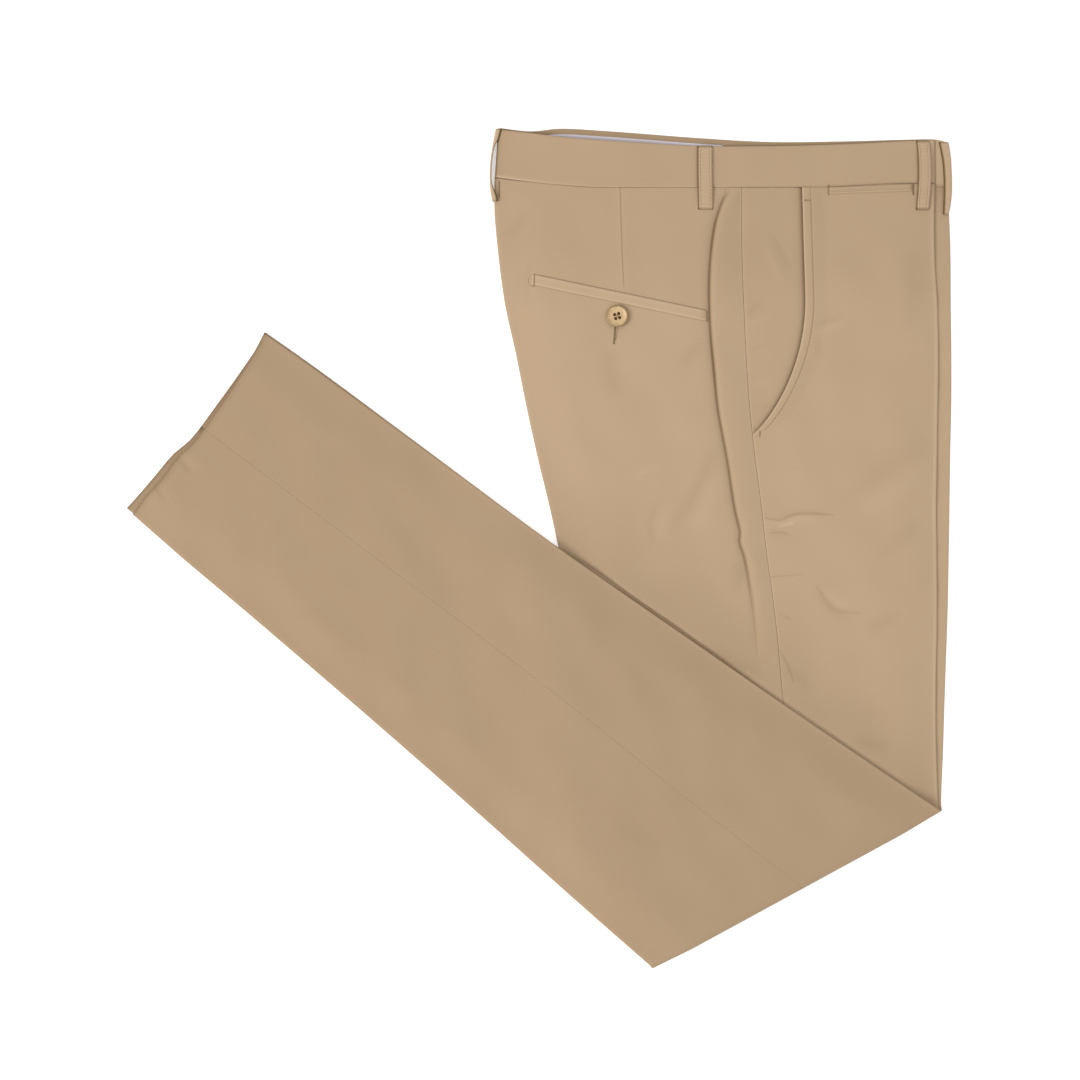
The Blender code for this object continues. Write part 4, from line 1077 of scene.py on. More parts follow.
def facing_points():
    """The facing's points in mm, row by row down to the mouth's end, and their tones."""
    points, tones = [], []
    for row in rows:
        if row.turn or row.share > MOUTH_END_SHARE:
            continue
        near = row.seam + HALF_GAP
        start = near + 1.0
        mouth = max(row.mouth, start + FACING_NARROWEST)
        opened = min(1.0, (row.mouth - row.seam) / MOUTH_OPENS)
        narrow = 1 - min(1.0, (mouth - near) / FACING_FULL_WIDTH)
        columns = []
        for far, depth in TURNED_EDGE:
            allowance = far > 2
            columns.append((near + far * (1 - narrow * allowance), depth + 0.6 * narrow * allowance))
        for q in np.concatenate((np.linspace(0, 0.78, 24)[1:], np.linspace(0.8, 1.0, 16))):
            d = start + (mouth - start) * q
            columns.append((d, read_curve(FACING_DIP, mouth - d) * smooth_step((d - near) / 3.0)))
        columns += [(mouth + far, depth + FACING_SINK * (1 - opened)) for far, depth in FACING_UNDER]
        d, depth = np.array(columns).T
        placed = place(row, d, 0 * d, depth + row.sink, "right")
        tone = read_curve(FACING_GAP_SHADE, np.clip(mouth - d, 0, 400)) * opened
        tone += read_curve(SEAM_SHADING, np.clip(d - near, 0, 2.4))
        points.append(placed[:, :3])
        tones.append(tone + FACING_SHADE + placed[:, 3])
    return np.array(points), np.array(tones)


facing_grid, facing_tones = facing_points()
pocket_facing = cloth_sheet(
    "right_pocket_facing_cloth",
    facing_grid,
    facing_tones,
    nodes=("right_pocket_facing",),
    facing=(20, 20, 1),
    base_column=12,
)

# %% [markdown]
# ## Waistband
# A waistband is a strip of twill folded along its top over a stiff interlining, and sewn to the panels
# along its foot. Each half is one grid: a turned edge at the foot, the outer face, the fold, and the inner
# face going down again. At the centre back and the front the two faces close on each other.

# %% Waistbands
BAND = 2.0  # how thick a finished half of the band is
BandTop = namedtuple("BandTop", "x right left")
BAND_TOPS = (
    BandTop(-34.4, 341.6, 343.6),
    BandTop(-8.2, 339.0, 341.0),
    BandTop(16.4, 335.8, 343.2),
    BandTop(49.0, 333.0, 341.6),
    BandTop(82.0, 331.0, 339.2),
    BandTop(131.2, 328.4, 335.4),
    BandTop(188.6, 328.4, 332.3),
    BandTop(250.0, 330.0, 332.8),
    BandTop(302.0, 332.6, 334.2),
    BandTop(324.0, 333.2, 334.2),
    BandTop(334.2, 332.6, 331.6),
)
BAND_BACK, BAND_SLANT, BAND_SLANT_REACH = -37.0, 2.6, 30.0  # the back end leans forward towards its top
BAND_FRONT = {"right": 324.0, "left": 334.2}
BAND_LOW = {"right": 3.6, "left": 0.0}
ARCH_X, ARCH_REACH, ARCH_RISE = 49.0, 95.0, 2.4  # the right half's top rises where the waist gapes
FRONT_THIN, FRONT_THIN_REACH = 0.9, 8.0  # the right half thins towards the front
FRONT_CURL, FRONT_CURL_FROM = 2.1, 317.0  # and the left half's end beyond it curls up
BAND_SEAM = -0.2  # the band's foot lies just over the panels' top edges
# Its sections at the foot and at the fold: how far in, and how deep below its outer face
BAND_FOOT = ((8, 1.5), (1.2, 1.5), (0.5, 1.45), (0.15, 1.25), (0, 0.95), (0.13, 0.7), (0.42, 0.52))
BAND_FOOT += ((0.9, 0.38), (1.8, 0.18), (3.0, 0.04))
BAND_FOLD = ((1.3, 0), (0.7, 0.07), (0.3, 0.26), (0.06, 0.6), (0, 1.0))
BAND_ENDS = (0, 0.15, 0.4, 0.8, 1.3, 1.9, 2.8, 4.2)  # columns' distances from an end
BESIDE_LOOP = (-3.0, -1.8, -0.9, -0.3, 0.4, 1.1, 2.0)  # and from a loop's edge
BAND_TONE = -0.42  # the band is a little deeper in tone than the panels
# Painted shade at the right half's back and front ends, painted light on the left half's curled front end,
# and painted shade along that end's foot
BAND_BACK_SHADE, BAND_FRONT_SHADE, FRONT_END_LIGHT, FRONT_FOOT_SHADE = -3.6, -1.3, 1.2, -2.4
TOP_SHADE, INSIDE_TONE = -0.8, -1.0  # painted shade along the band's fold, and a deeper tone on the left half's inner face
LoopEdge = namedtuple("LoopEdge", "x tone")  # painted shade on the band beside the loops' left edges, and painted light over the shadows that they cast to the right
LOOP_EDGES = (LoopEdge(129.0, -1.8), LoopEdge(141.6, 0.4), LoopEdge(309.7, -1.8), LoopEdge(320.6, 1.0))
# Along the foot: how much painted light lifts the seam's shade at each x, and how its painted shade fades up
# the band
SEAT_SEAM_LIGHT = ((-40.0, 2.4), (-20.0, 2.0), (0.0, 1.4), (60.0, 0.7), (150.0, 0.7), (170.0, 0.0))
SEAT_SEAM_LIGHT += ((340.0, 0.0),)
BAND_FOOT_SHADE = ((0.0, -0.5), (1.0, -0.35), (2.2, 0.0), (60.0, 0.0))


def band_points(side):
    """A half of the waistband, end to end and up its outer face, over the fold and down inside."""
    right, front = side == "right", BAND_FRONT[side]
    stations = [BAND_BACK + far for far in BAND_ENDS] + [front - far for far in BAND_ENDS]
    stations += [*np.linspace(BAND_BACK + 7, front - 7, 90)]
    stations += [edge.x + far for edge in LOOP_EDGES[: 3 if right else 0] for far in BESIDE_LOOP]
    tops = column_of(BAND_TOPS, "x", side)
    points, tones = [], []
    for x in sorted(stations):
        closing = min(x - BAND_BACK, front - x) / 1.3
        round_end = math.sqrt(max(0.02, 1 - max(0.0, 1 - closing) ** 2))
        foot = WAIST_Y + waist_rise(x) + BAND_SEAM
        height = read_curve(tops, x) - foot
        path = [*BAND_FOOT]
        path += [(height * share, 0) for share in (0.13, 0.2, 0.3, 0.44, 0.58, 0.72, 0.85, 0.93)]
        path += [(height - far, depth) for far, depth in BAND_FOLD]
        path += [(height - far, BAND - depth) for far, depth in reversed(BAND_FOLD[:-1])]
        path += [(height * share, BAND) for share in (0.85, 0.6, 0.35, 0.1, 0.02)]
        up, depth = np.array(path).T
        share = up / height
        slant = BAND_SLANT * share * max(0.0, 1 - (x - BAND_BACK) / BAND_SLANT_REACH)
        tone = read_curve(BAND_FOOT_SHADE, np.clip(up, 0, 60)) * (depth < 1) + BAND_TONE
        tone += read_curve(SEAT_SEAM_LIGHT, x) * bell(up, 1.3) + TOP_SHADE * bell(height - up, 0.5)
        if right:
            ending = x - BAND_BACK
            tone += BAND_BACK_SHADE * (0.75 * bell(ending, 1.3) + 0.25 * math.exp(-ending / 2.6))
            tone += BAND_FRONT_SHADE * bell(front - x, 0.8)
            tone += sum(edge.tone * bell(x - edge.x, 1.1) for edge in LOOP_EDGES)
        else:
            tone += FRONT_END_LIGHT * smooth_step((x - FRONT_CURL_FROM) / 6.0)
            tone += FRONT_FOOT_SHADE * bell(up, 0.9) * (x > FRONT_RISE_TO + 1) + INSIDE_TONE * (depth > 1)
        depth = BAND / 2 + (depth - BAND / 2) * round_end
        if right:
            z = BAND_LOW[side] + BAND - depth
            z -= FRONT_THIN * smooth_step(1 - (front - x) / FRONT_THIN_REACH) * (BAND - depth) / BAND
            z += ARCH_RISE * max(0.0, 1 - ((x - ARCH_X) / ARCH_REACH) ** 2) ** 2 * share * share
            z += 0.7 * unevenness(x + slant, foot + up)
        else:
            z = BAND_LOW[side] + depth + FRONT_CURL * smooth_step((x - FRONT_CURL_FROM) / 10.0)
        points.append(centred(x + slant, foot + up, z))
        tones.append(tone)
    return np.array(points), np.array(tones)


bands = {}
for side in ("right", "left"):
    band_grid, band_tones = band_points(side)
    bands[side] = cloth_sheet(
        f"{side}_waistband_cloth",
        band_grid,
        band_tones,
        nodes=(f"{side}_waistband",),
        facing=(40, 13, 1 if side == "right" else -1),
        base_column=8,
        down_column=13,
        wall=0.6,
    )

# %% [markdown]
# ## Waistband lining
# A strip of white pocketing cotton is sewn inside the band. Only its top shows, as a bright sliver where
# the band's two halves gape. It is a thin sheet with a slight wave.

# %% Waistband lining
LINING_SPAN = (4.0, 150.0)
LINING_INSET = 4.7  # its top lies this far below the left half's
# How far down from its top, and the height there
LINING_SECTION = ((0.0, 2.5), (0.25, 2.85), (0.8, 3.05), (2.0, 3.1), (4.0, 3.0), (7.0, 2.9), (11.0, 2.8))
LINING_SECTION += ((16.0, 2.8), (20.0, 2.8), (24.0, 2.8))
LINING_WAVE, LINING_WAVE_TURN = 0.12, 9.0
LINING_SHADE = -1.3  # painted shade, as it lies deep in the gap


def lining_points():
    tops = column_of(BAND_TOPS, "x", "left")
    down, lift = np.array(LINING_SECTION).T
    points = []
    for x in np.linspace(*LINING_SPAN, 36):
        wave = LINING_WAVE * math.sin(x / LINING_WAVE_TURN)
        points.append(centred(x, read_curve(tops, x) - LINING_INSET - down, lift + wave))
    return np.array(points)


lining_grid = lining_points()
cloth_sheet(
    "waistband_lining_cloth",
    lining_grid,
    np.full(lining_grid.shape[:2], LINING_SHADE),
    nodes=("waistband_lining",),
    facing=(10, 5, 1),
    base_column=0,
    surfaces=(white_lining,),
    wall=0.35,
    slot="lining_cotton",
)

# %% [markdown]
# ## Belt loops
# A belt loop is a strip folded in three and stitched along both edges, then bent under and tacked down at
# its two ends. Between the ends it stands off the band to let a belt through. Two of the loops lie on the
# upper side. The other two sit on the edge of the stack, so they are seen from their side.

# %% Belt loops
LOOP_WALL = 1.0
LOOP_EDGE = 2.3  # from the loop's edge to its row of stitches
# Across half a loop's upper side: inward from its edge, mm below its top, and tone: painted shade at the
# edge, a painted highlight inside it and a little painted shade in the stitch groove
LoopPoint = namedtuple("LoopPoint", "far sunk tone")
LOOP_PROFILE = (
    LoopPoint(0.0, 0.6, -4.5),
    LoopPoint(0.5, 0.34, -4.2),
    LoopPoint(1.0, 0.14, -2.6),
    LoopPoint(1.4, 0.02, 0.2),
    LoopPoint(1.8, 0.02, 0.7),
    LoopPoint(2.15, 0.09, 0.0),
    LoopPoint(2.3, 0.12, -0.2),
    LoopPoint(2.45, 0.09, 0.0),
    LoopPoint(2.9, 0.04, 0.0),
    LoopPoint(3.6, 0.02, 0.0),
)
LOOP_ENDS = ((0.55, -3.0), (0.85, -1.6), (0.97, 0.2))  # share of the height and tone of the last rings, mostly painted shade
SIDE_LOOP_WIDTH, FRONT_LOOP_WIDTH = 12.4, 10.6
Station = namedtuple("Station", "y x z")
SIDE_LOOP = (
    Station(328.6, 135.2, 5.7),
    Station(327.6, 135.2, 5.8),
    Station(324.5, 135.2, 5.9),
    Station(315.0, 135.2, 6.15),
    Station(303.0, 135.3, 6.25),
    Station(292.0, 135.5, 6.05),
    Station(283.0, 135.6, 5.5),
    Station(278.6, 135.7, 5.2),
    Station(276.0, 135.7, 5.0),
)
FRONT_LOOP = (
    Station(332.8, 313.5, 5.5),
    Station(331.8, 313.6, 5.55),
    Station(328.5, 314.2, 5.65),
    Station(318.0, 315.0, 5.85),
    Station(305.5, 315.2, 5.9),
    Station(293.0, 314.8, 5.8),
    Station(283.0, 313.9, 5.3),
    Station(278.6, 313.7, 4.9),
    Station(276.0, 313.6, 4.6),
)


def smooth_mesh(name, work):
    """A bmesh as a smooth mesh, with its faces pointing outwards."""
    bmesh.ops.recalc_face_normals(work, faces=work.faces)
    for face in work.faces:
        face.smooth = True
    mesh = bpy.data.meshes.new(name)
    work.to_mesh(mesh)
    work.free()
    return mesh


def skin_rings(work, rings, capped=True):
    """Faces between rings of vertices. A ring of one vertex closes the end."""
    sides = max(len(ring) for ring in rings)
    for ring, following in zip(rings, rings[1:]):
        for n in range(sides):
            m = n + 1
            around = [ring[n % len(ring)], ring[m % len(ring)]]
            around += [following[m % len(following)], following[n % len(following)]]
            work.faces.new(list(dict.fromkeys(around)))
    if capped:
        work.faces.new(rings[0])
        work.faces.new(rings[-1])


def flat_loop(node, stations, width, lit):
    """A closed strip: its upper side with two stitched grooves, and a plain underside.

    lit is the share of the edge's painted shade that the side towards the light takes up. Below 0 it is
    paler.
    """
    name = node + "_cloth"
    down = np.linspace(stations[0].y, stations[-1].y, 44)
    across = read_curve(column_of(stations, "y", "x"), down)
    low = read_curve(column_of(stations, "y", "z"), down)
    half = width / 2
    profile = [(-half + point.far, LOOP_WALL - point.sunk, point.tone) for point in LOOP_PROFILE]
    for point in reversed(LOOP_PROFILE):
        tone = point.tone * (lit if point.far < 1.2 else 1.0)
        profile.append((half - point.far, LOOP_WALL - point.sunk, tone))
    # The underside, in painted shade
    profile += [(half - 0.1, 0.2, -1), (half - 0.5, 0, -3), (-half + 0.5, 0, -3), (-half + 0.1, 0.2, -3)]
    x, z, tones = np.array(profile).T
    work = bmesh.new()
    tone_layer = work.verts.layers.float.new("tone")
    rings = []
    for n, (y, middle, base) in enumerate(zip(down, across, low)):
        end = min(n, len(down) - 1 - n)
        thin, end_shade = LOOP_ENDS[end] if end < len(LOOP_ENDS) else (1.0, 0.0)
        ring = centred(middle + x, y, base + z * thin + 0.05 * math.sin(y / 7))
        rings.append([work.verts.new(point * MM) for point in ring])
        for vert, tone in zip(rings[-1], tones):
            vert[tone_layer] = tone + end_shade
    skin_rings(work, rings)
    mesh = smooth_mesh(name, work)
    mesh.materials.append(khaki_twill)
    cut = mesh.uv_layers.new(name="cut")
    for corner, spot in zip(mesh.loops, cut.data):
        spot.uv = mesh.vertices[corner.vertex_index].co.xy
    piece = new_object(name, mesh)
    finish_piece(piece, "cotton_twill", node)
    return piece


side_loop = flat_loop("belt_loop_right_side", SIDE_LOOP, SIDE_LOOP_WIDTH, lit=0.3)
front_loop = flat_loop("belt_loop_right_front", FRONT_LOOP, FRONT_LOOP_WIDTH, lit=-0.1)

Wrap = namedtuple("Wrap", "y out inner z")
BACK_LOOP = (
    Wrap(342.4, -36.4, -31.2, 6.0),
    Wrap(334.2, -38.0, -33.6, 6.3),
    Wrap(328.5, -39.0, -36.9, 6.6),
    Wrap(323.5, -39.8, -38.1, 6.8),
    Wrap(316.0, -40.7, -39.1, 6.9),
    Wrap(307.9, -41.2, -39.7, 6.9),
    Wrap(298.9, -41.3, -39.5, 6.6),
    Wrap(294.0, -41.0, -38.2, 6.1),
    Wrap(288.0, -40.2, -35.4, 5.6),
    Wrap(283.0, -39.1, -34.4, 5.4),
)
LEFT_FRONT_LOOP = (
    Wrap(331.6, 335.2, 326.9, 4.0),
    Wrap(327.0, 336.2, 328.0, 4.2),
    Wrap(317.0, 337.4, 329.8, 4.4),
    Wrap(312.0, 337.7, 330.4, 4.4),
    Wrap(302.0, 338.1, 331.0, 4.4),
    Wrap(291.0, 338.1, 331.1, 4.2),
    Wrap(280.0, 337.1, 330.9, 3.6),
    Wrap(272.7, 335.6, 330.6, 3.0),
)
# The bend's largest radius, and the painted shade at a loop's ends
WRAP_BEND, WRAP_END_SHADE = 1.9, -2.4
WRAP_LIP = ((0, 0.8, -4.9), (0.35, 0.5, -4.7), (0.65, 0.15, -2.8), (1, 0, 0.1))  # share in, mm sunk, and tone, a painted shade on the lip


def wrapped_loop(node, stations, toward):
    """A loop bent over an edge: a flange on the band, a rounded bend and a web beside the edge.

    toward is 1 where the flange lies to the right of the edge, and -1 where it lies to the left.
    """
    points, tones = [], []
    for y in np.linspace(stations[0].y, stations[-1].y, 48):
        out, inner, low = (read_curve(column_of(stations, "y", key), y) for key in Wrap._fields[1:])
        top = low + LOOP_WALL
        bend = min(WRAP_BEND, 0.6 * abs(inner - out))
        lip = -math.copysign(min(2.2, 0.6 * (abs(inner - out) - bend)), toward)
        path = [(inner + lip * share, top - sunk, tone) for share, sunk, tone in WRAP_LIP]
        path.append(((inner + lip + out + bend * toward) / 2, top, 0.2))
        # Painted highlight on the top of the bend, turning to painted shade down the web
        for turn in np.linspace(0, math.pi / 2, 7):
            across = out + toward * bend * (1 - math.sin(turn))
            path.append((across, top - bend * (1 - math.cos(turn)), 0.4 - 1.2 * turn / math.pi))
        path += [(out, top - bend - (top - bend - 0.15) * share, -0.4) for share in (0.33, 0.66, 1.0)]
        x, z, tone = np.array(path).T
        end = min(y - stations[-1].y, stations[0].y - y)
        points.append(centred(x, y, z))
        tones.append(tone + WRAP_END_SHADE * bell(end, 0.8))
    cloth_sheet(
        node + "_cloth",
        np.array(points),
        np.array(tones),
        nodes=(node,),
        facing=(20, 3, 1),
        base_column=5,
        surfaces=(khaki_twill,),
        wall=1.1,
    )


wrapped_loop("belt_loop_centre_back", BACK_LOOP, 1)
wrapped_loop("belt_loop_left_front", LEFT_FRONT_LOOP, -1)

# %% [markdown]
# ## Welts
# The back pocket is cut into the seat, and a narrow folded strip, the welt, stands in the cut with its fold
# upwards. The coin pocket has the same under the waist seam. Each is a sheet: it comes up out of the
# pocket, folds over with a small radius and is sewn down along its lower edge.

# %% Welts
# From above the slit downwards: how far below the welt's free edge, mm above the panel, and tone, which is
# painted shade in the slit and a painted highlight on the fold. The first points are the slit's upper edge,
# then comes the slit and the welt's fold.
WeltPoint = namedtuple("WeltPoint", "down up tone")
WELT_SECTION = (
    WeltPoint(-3.4, -0.6, 0.0),
    WeltPoint(-2.4, -0.1, 0.0),
    WeltPoint(-1.7, 0.1, 0.1),
    WeltPoint(-1.2, 0.18, 0.2),
    WeltPoint(-0.85, 0.12, -0.6),
    WeltPoint(-0.6, -0.1, -2.2),
    WeltPoint(-0.5, -0.35, -3.2),
    WeltPoint(-0.2, -0.4, -3.2),
    WeltPoint(-0.1, 0.2, -2.8),
    WeltPoint(0.0, 0.6, -1.6),
    WeltPoint(0.25, 0.9, -0.3),
    WeltPoint(0.7, 1.04, 0.3),
    WeltPoint(1.4, 1.04, 0.4),
    WeltPoint(2.6, 0.95, 0.3),
)
# The lower edge: how far above it, mm above the panel, and tone: a painted highlight above the seam and
# painted shade in it
WELT_FOOT = (
    WeltPoint(2.0, 0.72, 0.3),
    WeltPoint(1.3, 0.74, 0.7),
    WeltPoint(0.8, 0.64, 0.6),
    WeltPoint(0.4, 0.4, -0.6),
    WeltPoint(0.12, 0.1, -1.6),
    WeltPoint(-0.3, 0.0, -1.3),
    WeltPoint(-0.7, -0.1, -0.4),
    WeltPoint(-1.0, -0.7, 0.0),
)
WELT_MIDDLE, WELT_MIDDLE_TONE = ((0.45, 0.9), (0.6, 0.84), (0.72, 0.78)), 0.15
WELT_SLIT_POINTS = 6  # of the section, left out where the slit doesn't show
COIN_DULL = 0.75  # the coin pocket's welt is duller by this tone: darker below its fold, with weaker painted highlights


def surface_under(pieces):
    """Trees for finding the top of finished pieces under a point."""
    graph = bpy.context.evaluated_depsgraph_get()
    return [BVHTree.FromObject(piece, graph) for piece in pieces]


def top_at(trees, x, y):
    """The height in mm of the highest of some pieces at a place given in mm."""
    start = Vector(((x + TO_CENTRE[0]) * MM, (y + TO_CENTRE[1]) * MM, 0.05))
    hits = [tree.ray_cast(start, Vector((0, 0, -1)))[0] for tree in trees]
    heights = [hit.z / MM for hit in hits if hit is not None]
    return max(heights) if heights else STACK


seat_trees = surface_under([panels["right", "back"], panels["right", "front"]])


def welt(name, left, right, height, node, slit):
    """A welt between two ends of its free edge. slit says whether the slit above it shows."""
    start, end = np.array(left), np.array(right)
    dull = 0.0 if slit else COIN_DULL
    section = WELT_SECTION if slit else WELT_SECTION[WELT_SLIT_POINTS:]
    path = [point._replace(tone=point.tone - dull * (point.down > 0.5)) for point in section]
    path += [WeltPoint(height * q, up, WELT_MIDDLE_TONE - dull) for q, up in WELT_MIDDLE]
    path += [WeltPoint(height - far, up, tone - dull * (tone > 0)) for far, up, tone in WELT_FOOT]
    down, up, tone = np.array(path).T
    points = []
    for share in np.concatenate(([0.0, 0.004], np.linspace(0.02, 0.98, 48), [0.996, 1.0])):
        upper = start + (end - start) * share
        low = np.array([top_at(seat_trees, upper[0], upper[1] - far) for far in down])
        ending = 0.3 + 0.7 * smooth_step(min(share, 1 - share) / 0.012)
        points.append(centred(upper[0], upper[1] - down, low + up * ending))
    return cloth_sheet(
        name,
        np.array(points),
        np.tile(tone, (len(points), 1)),
        nodes=(node,),
        facing=(20, 12 if slit else 6, 1),
        base_column=0,
        down_column=6,
        surfaces=(khaki_twill,),
        wall=0.4,
    )


back_welt = welt(
    "back_pocket_welt_cloth", left=(-6.6, 223.5), right=(136.4, 193.6), height=9.0,
    node="back_pocket_welt", slit=True,
)
coin_welt = welt(
    "coin_pocket_welt_cloth", left=(236.2, 294.6), right=(305.0, 297.2), height=5.8,
    node="coin_pocket_welt", slit=False,
)

# %% [markdown]
# ## Back pocket button
# The button is cast polyester resin, turned to shape: a rounded rim, a dished middle and four holes. A
# profile is spun round for the body, and four cylinders are cut from it with a Boolean. Dark thread fills
# the holes, as painted shade for their depth. It sits over the top of its buttonhole, a worked slit in the
# seat.

# %% Button
BUTTON_AT = (63.3, 188.8)
BUTTON_RADIUS, BUTTON_SIDES = 9.2, 72
BUTTON_CENTRE = Vector(centred(*BUTTON_AT, STACK + GAP)[0])  # in mm, at its back
HOLE_RADIUS, HOLE_OUT = 1.32, 2.35
HOLE_ANGLES = [math.radians(59) + n * math.pi / 2 for n in range(4)]
HOLE_DIRECTIONS = [Vector((math.cos(angle), math.sin(angle), 0)) for angle in HOLE_ANGLES]
CLOUDS_PER_METRE = 260.0  # in the button's resin
# Shares of the radius, and mm above the button's back
BUTTON_PROFILE = ((0.0, 0.1), (0.55, 0.1), (0.72, 0.14), (0.86, 0.42), (0.95, 0.85), (0.99, 1.35), (1.0, 1.7))
BUTTON_PROFILE += ((0.985, 2.1), (0.95, 2.4), (0.9, 2.55), (0.84, 2.56), (0.78, 2.42), (0.72, 2.16))
BUTTON_PROFILE += ((0.66, 1.95), (0.58, 1.82), (0.4, 1.74), (0.2, 1.7), (0.0, 1.7))
RIM_SHADE, DISH_PALE, RIM_FROM, RIM_REACH = 0.7, 0.3, 0.8, 0.16  # painted shade on the rim, the dish a little paler, and where the rim's shade sets in
WINDING_FOOT, WINDINGS = -0.25, ((1.0, 1.2), (1.3, 0.85))  # of the dark thread: its foot, then tops and radii
CROSSING_TOP, CROSSING_STEP, CROSSING_DIP = 1.92, 0.2, 0.9  # the second crossing lies over the first
CROSSING_FLAT, CROSSING_REACH, CROSSING_RADIUS = 0.72, 0.9, 0.26


def resin_material():
    """Horn-look polyester resin: smooth, a little clouded, with a soft gloss and painted shade on its rim."""
    made, tree, shader = new_material("horn_look_polyester_resin", {"Roughness": 0.38, "IOR": 1.54})
    where = add_node(tree, "ShaderNodeTexCoord").outputs["Object"]
    cloud = {"Vector": where, "Scale": CLOUDS_PER_METRE, "Detail": 3.0, "Distortion": 0.8}
    clouds = add_node(tree, "ShaderNodeTexNoise", cloud).outputs["Fac"]
    painted_rim = add_node(tree, "ShaderNodeAttribute", attribute_name="rim").outputs["Fac"]
    share = add_node(tree, "ShaderNodeMath", {0: clouds, 1: painted_rim}, operation="SUBTRACT").outputs[0]
    shades = {0: share, 6: linear("8d744c"), 7: linear("cdae82")}
    colour = add_node(tree, "ShaderNodeMix", shades, data_type="RGBA", clamp_factor=True).outputs[2]
    tree.links.new(colour, shader.inputs["Base Color"])
    return made


def spin_profile(name, profile, radius, sides):
    """A profile of (share of the radius, height) pairs, spun round the upright axis."""
    work = bmesh.new()
    rim = work.verts.layers.float.new("rim")
    rings = []
    for share, height in profile:
        ring = []
        for n in range(sides if share else 1):
            angle = 2 * math.pi * n / sides
            flat = (share * radius * math.cos(angle), share * radius * math.sin(angle))
            ring.append(work.verts.new((*flat, height)))
            ring[-1][rim] = RIM_SHADE * smooth_step((share - RIM_FROM) / RIM_REACH)
            ring[-1][rim] -= DISH_PALE * (share < RIM_FROM)
        rings.append(ring)
    skin_rings(work, rings, capped=False)
    return smooth_mesh(name, work)


def plain_copy(source, name):
    """The evaluated object as a plain mesh object, in place of the one that was modified."""
    graph = bpy.context.evaluated_depsgraph_get()
    mesh = bpy.data.meshes.new_from_object(source.evaluated_get(graph))
    mesh.name = name
    helper = source.data
    bpy.data.objects.remove(source, do_unlink=True)
    bpy.data.meshes.remove(helper)
    return new_object(name, mesh)


def drill_object():
    """Four upright cylinders where the button's holes are."""
    work = bmesh.new()
    size = {"segments": 20, "radius1": HOLE_RADIUS, "radius2": HOLE_RADIUS, "depth": 12}
    for direction in HOLE_DIRECTIONS:
        made = bmesh.ops.create_cone(work, cap_ends=True, **size)
        bmesh.ops.translate(work, verts=made["verts"], vec=BUTTON_CENTRE + HOLE_OUT * direction)
    bmesh.ops.scale(work, verts=work.verts, vec=(MM, MM, MM))
    mesh = bpy.data.meshes.new("button_drill")
    work.to_mesh(mesh)
    work.free()
    return new_object("button_drill", mesh)


def make_button():
    mesh = spin_profile("button_body", BUTTON_PROFILE, BUTTON_RADIUS, BUTTON_SIDES)
    for vertex in mesh.vertices:
        vertex.co = (vertex.co + BUTTON_CENTRE) * MM
    mesh.materials.append(resin_material())
    body, drill = new_object("button_body", mesh), drill_object()
    holes = body.modifiers.new("holes", "BOOLEAN")
    holes.operation = "DIFFERENCE"
    holes.solver = "EXACT"
    holes.object = drill
    button = plain_copy(body, "back_pocket_button_resin")
    drill_mesh = drill.data
    bpy.data.objects.remove(drill, do_unlink=True)
    bpy.data.meshes.remove(drill_mesh)
    return finish_piece(button, "button_resin", "back_pocket_button")


def tube_along(work, points, radius, sides=6):
    """Adds a closed tube through points to a bmesh, in mm."""
    rings = []
    angles = [2 * math.pi * n / sides for n in range(sides)]
    for n, point in enumerate(points):
        ahead = points[min(n + 1, len(points) - 1)] - points[max(n - 1, 0)]
        side = ahead.orthogonal().normalized()
        other = ahead.normalized().cross(side)
        spokes = [side * math.cos(angle) + other * math.sin(angle) for angle in angles]
        rings.append([work.verts.new(point + spoke * radius) for spoke in spokes])
    skin_rings(work, rings)


def thread_piece(name, work, thread):
    """Turns threads that were laid in a bmesh, in mm, into a piece."""
    mesh = smooth_mesh(name, work)
    mesh.transform(Matrix.Scale(MM, 4))
    mesh.materials.append(thread)
    return finish_piece(new_object(name, mesh), "sewing_thread")


def button_threads():
    """The dark windings fill the holes from below as painted shade for their depth, and two thin pale threads
    cross the dish.
    """
    up = Vector((0, 0, 1))
    windings, crossings = bmesh.new(), bmesh.new()
    for n, along in enumerate(HOLE_DIRECTIONS):
        hole = BUTTON_CENTRE + along * HOLE_OUT
        for top, radius in WINDINGS:
            tube_along(windings, [hole + up * WINDING_FOOT, hole + up * top], radius, 10)
        if n < 2:
            points = []
            for q in np.linspace(-1, 1, 13):
                dip = CROSSING_DIP * max(0.0, abs(q) - CROSSING_FLAT) / (1 - CROSSING_FLAT)
                height = CROSSING_TOP + CROSSING_STEP * n - dip
                points.append(BUTTON_CENTRE + along * (HOLE_OUT * q * CROSSING_REACH) + up * height)
            tube_along(crossings, points, CROSSING_RADIUS)
    thread_piece("button_windings", windings, hole_shade_thread)
    thread_piece("button_crossings", crossings, button_thread)


button = make_button()
button_threads()
print("button faces", len(button.data.polygons))

# %% [markdown]
# ## Stitches
# Rows of stitches and bar tacks follow lines on the cloth, which is work for Geometry Nodes. A line of
# edges is dropped on the finished cloth, turned into a curve and cut into equal steps, and a small pointed
# bead is set on each step along the line. Turned across the line and set close together, the same bead
# makes a bar tack. One tree serves them all, with its sizes as inputs.

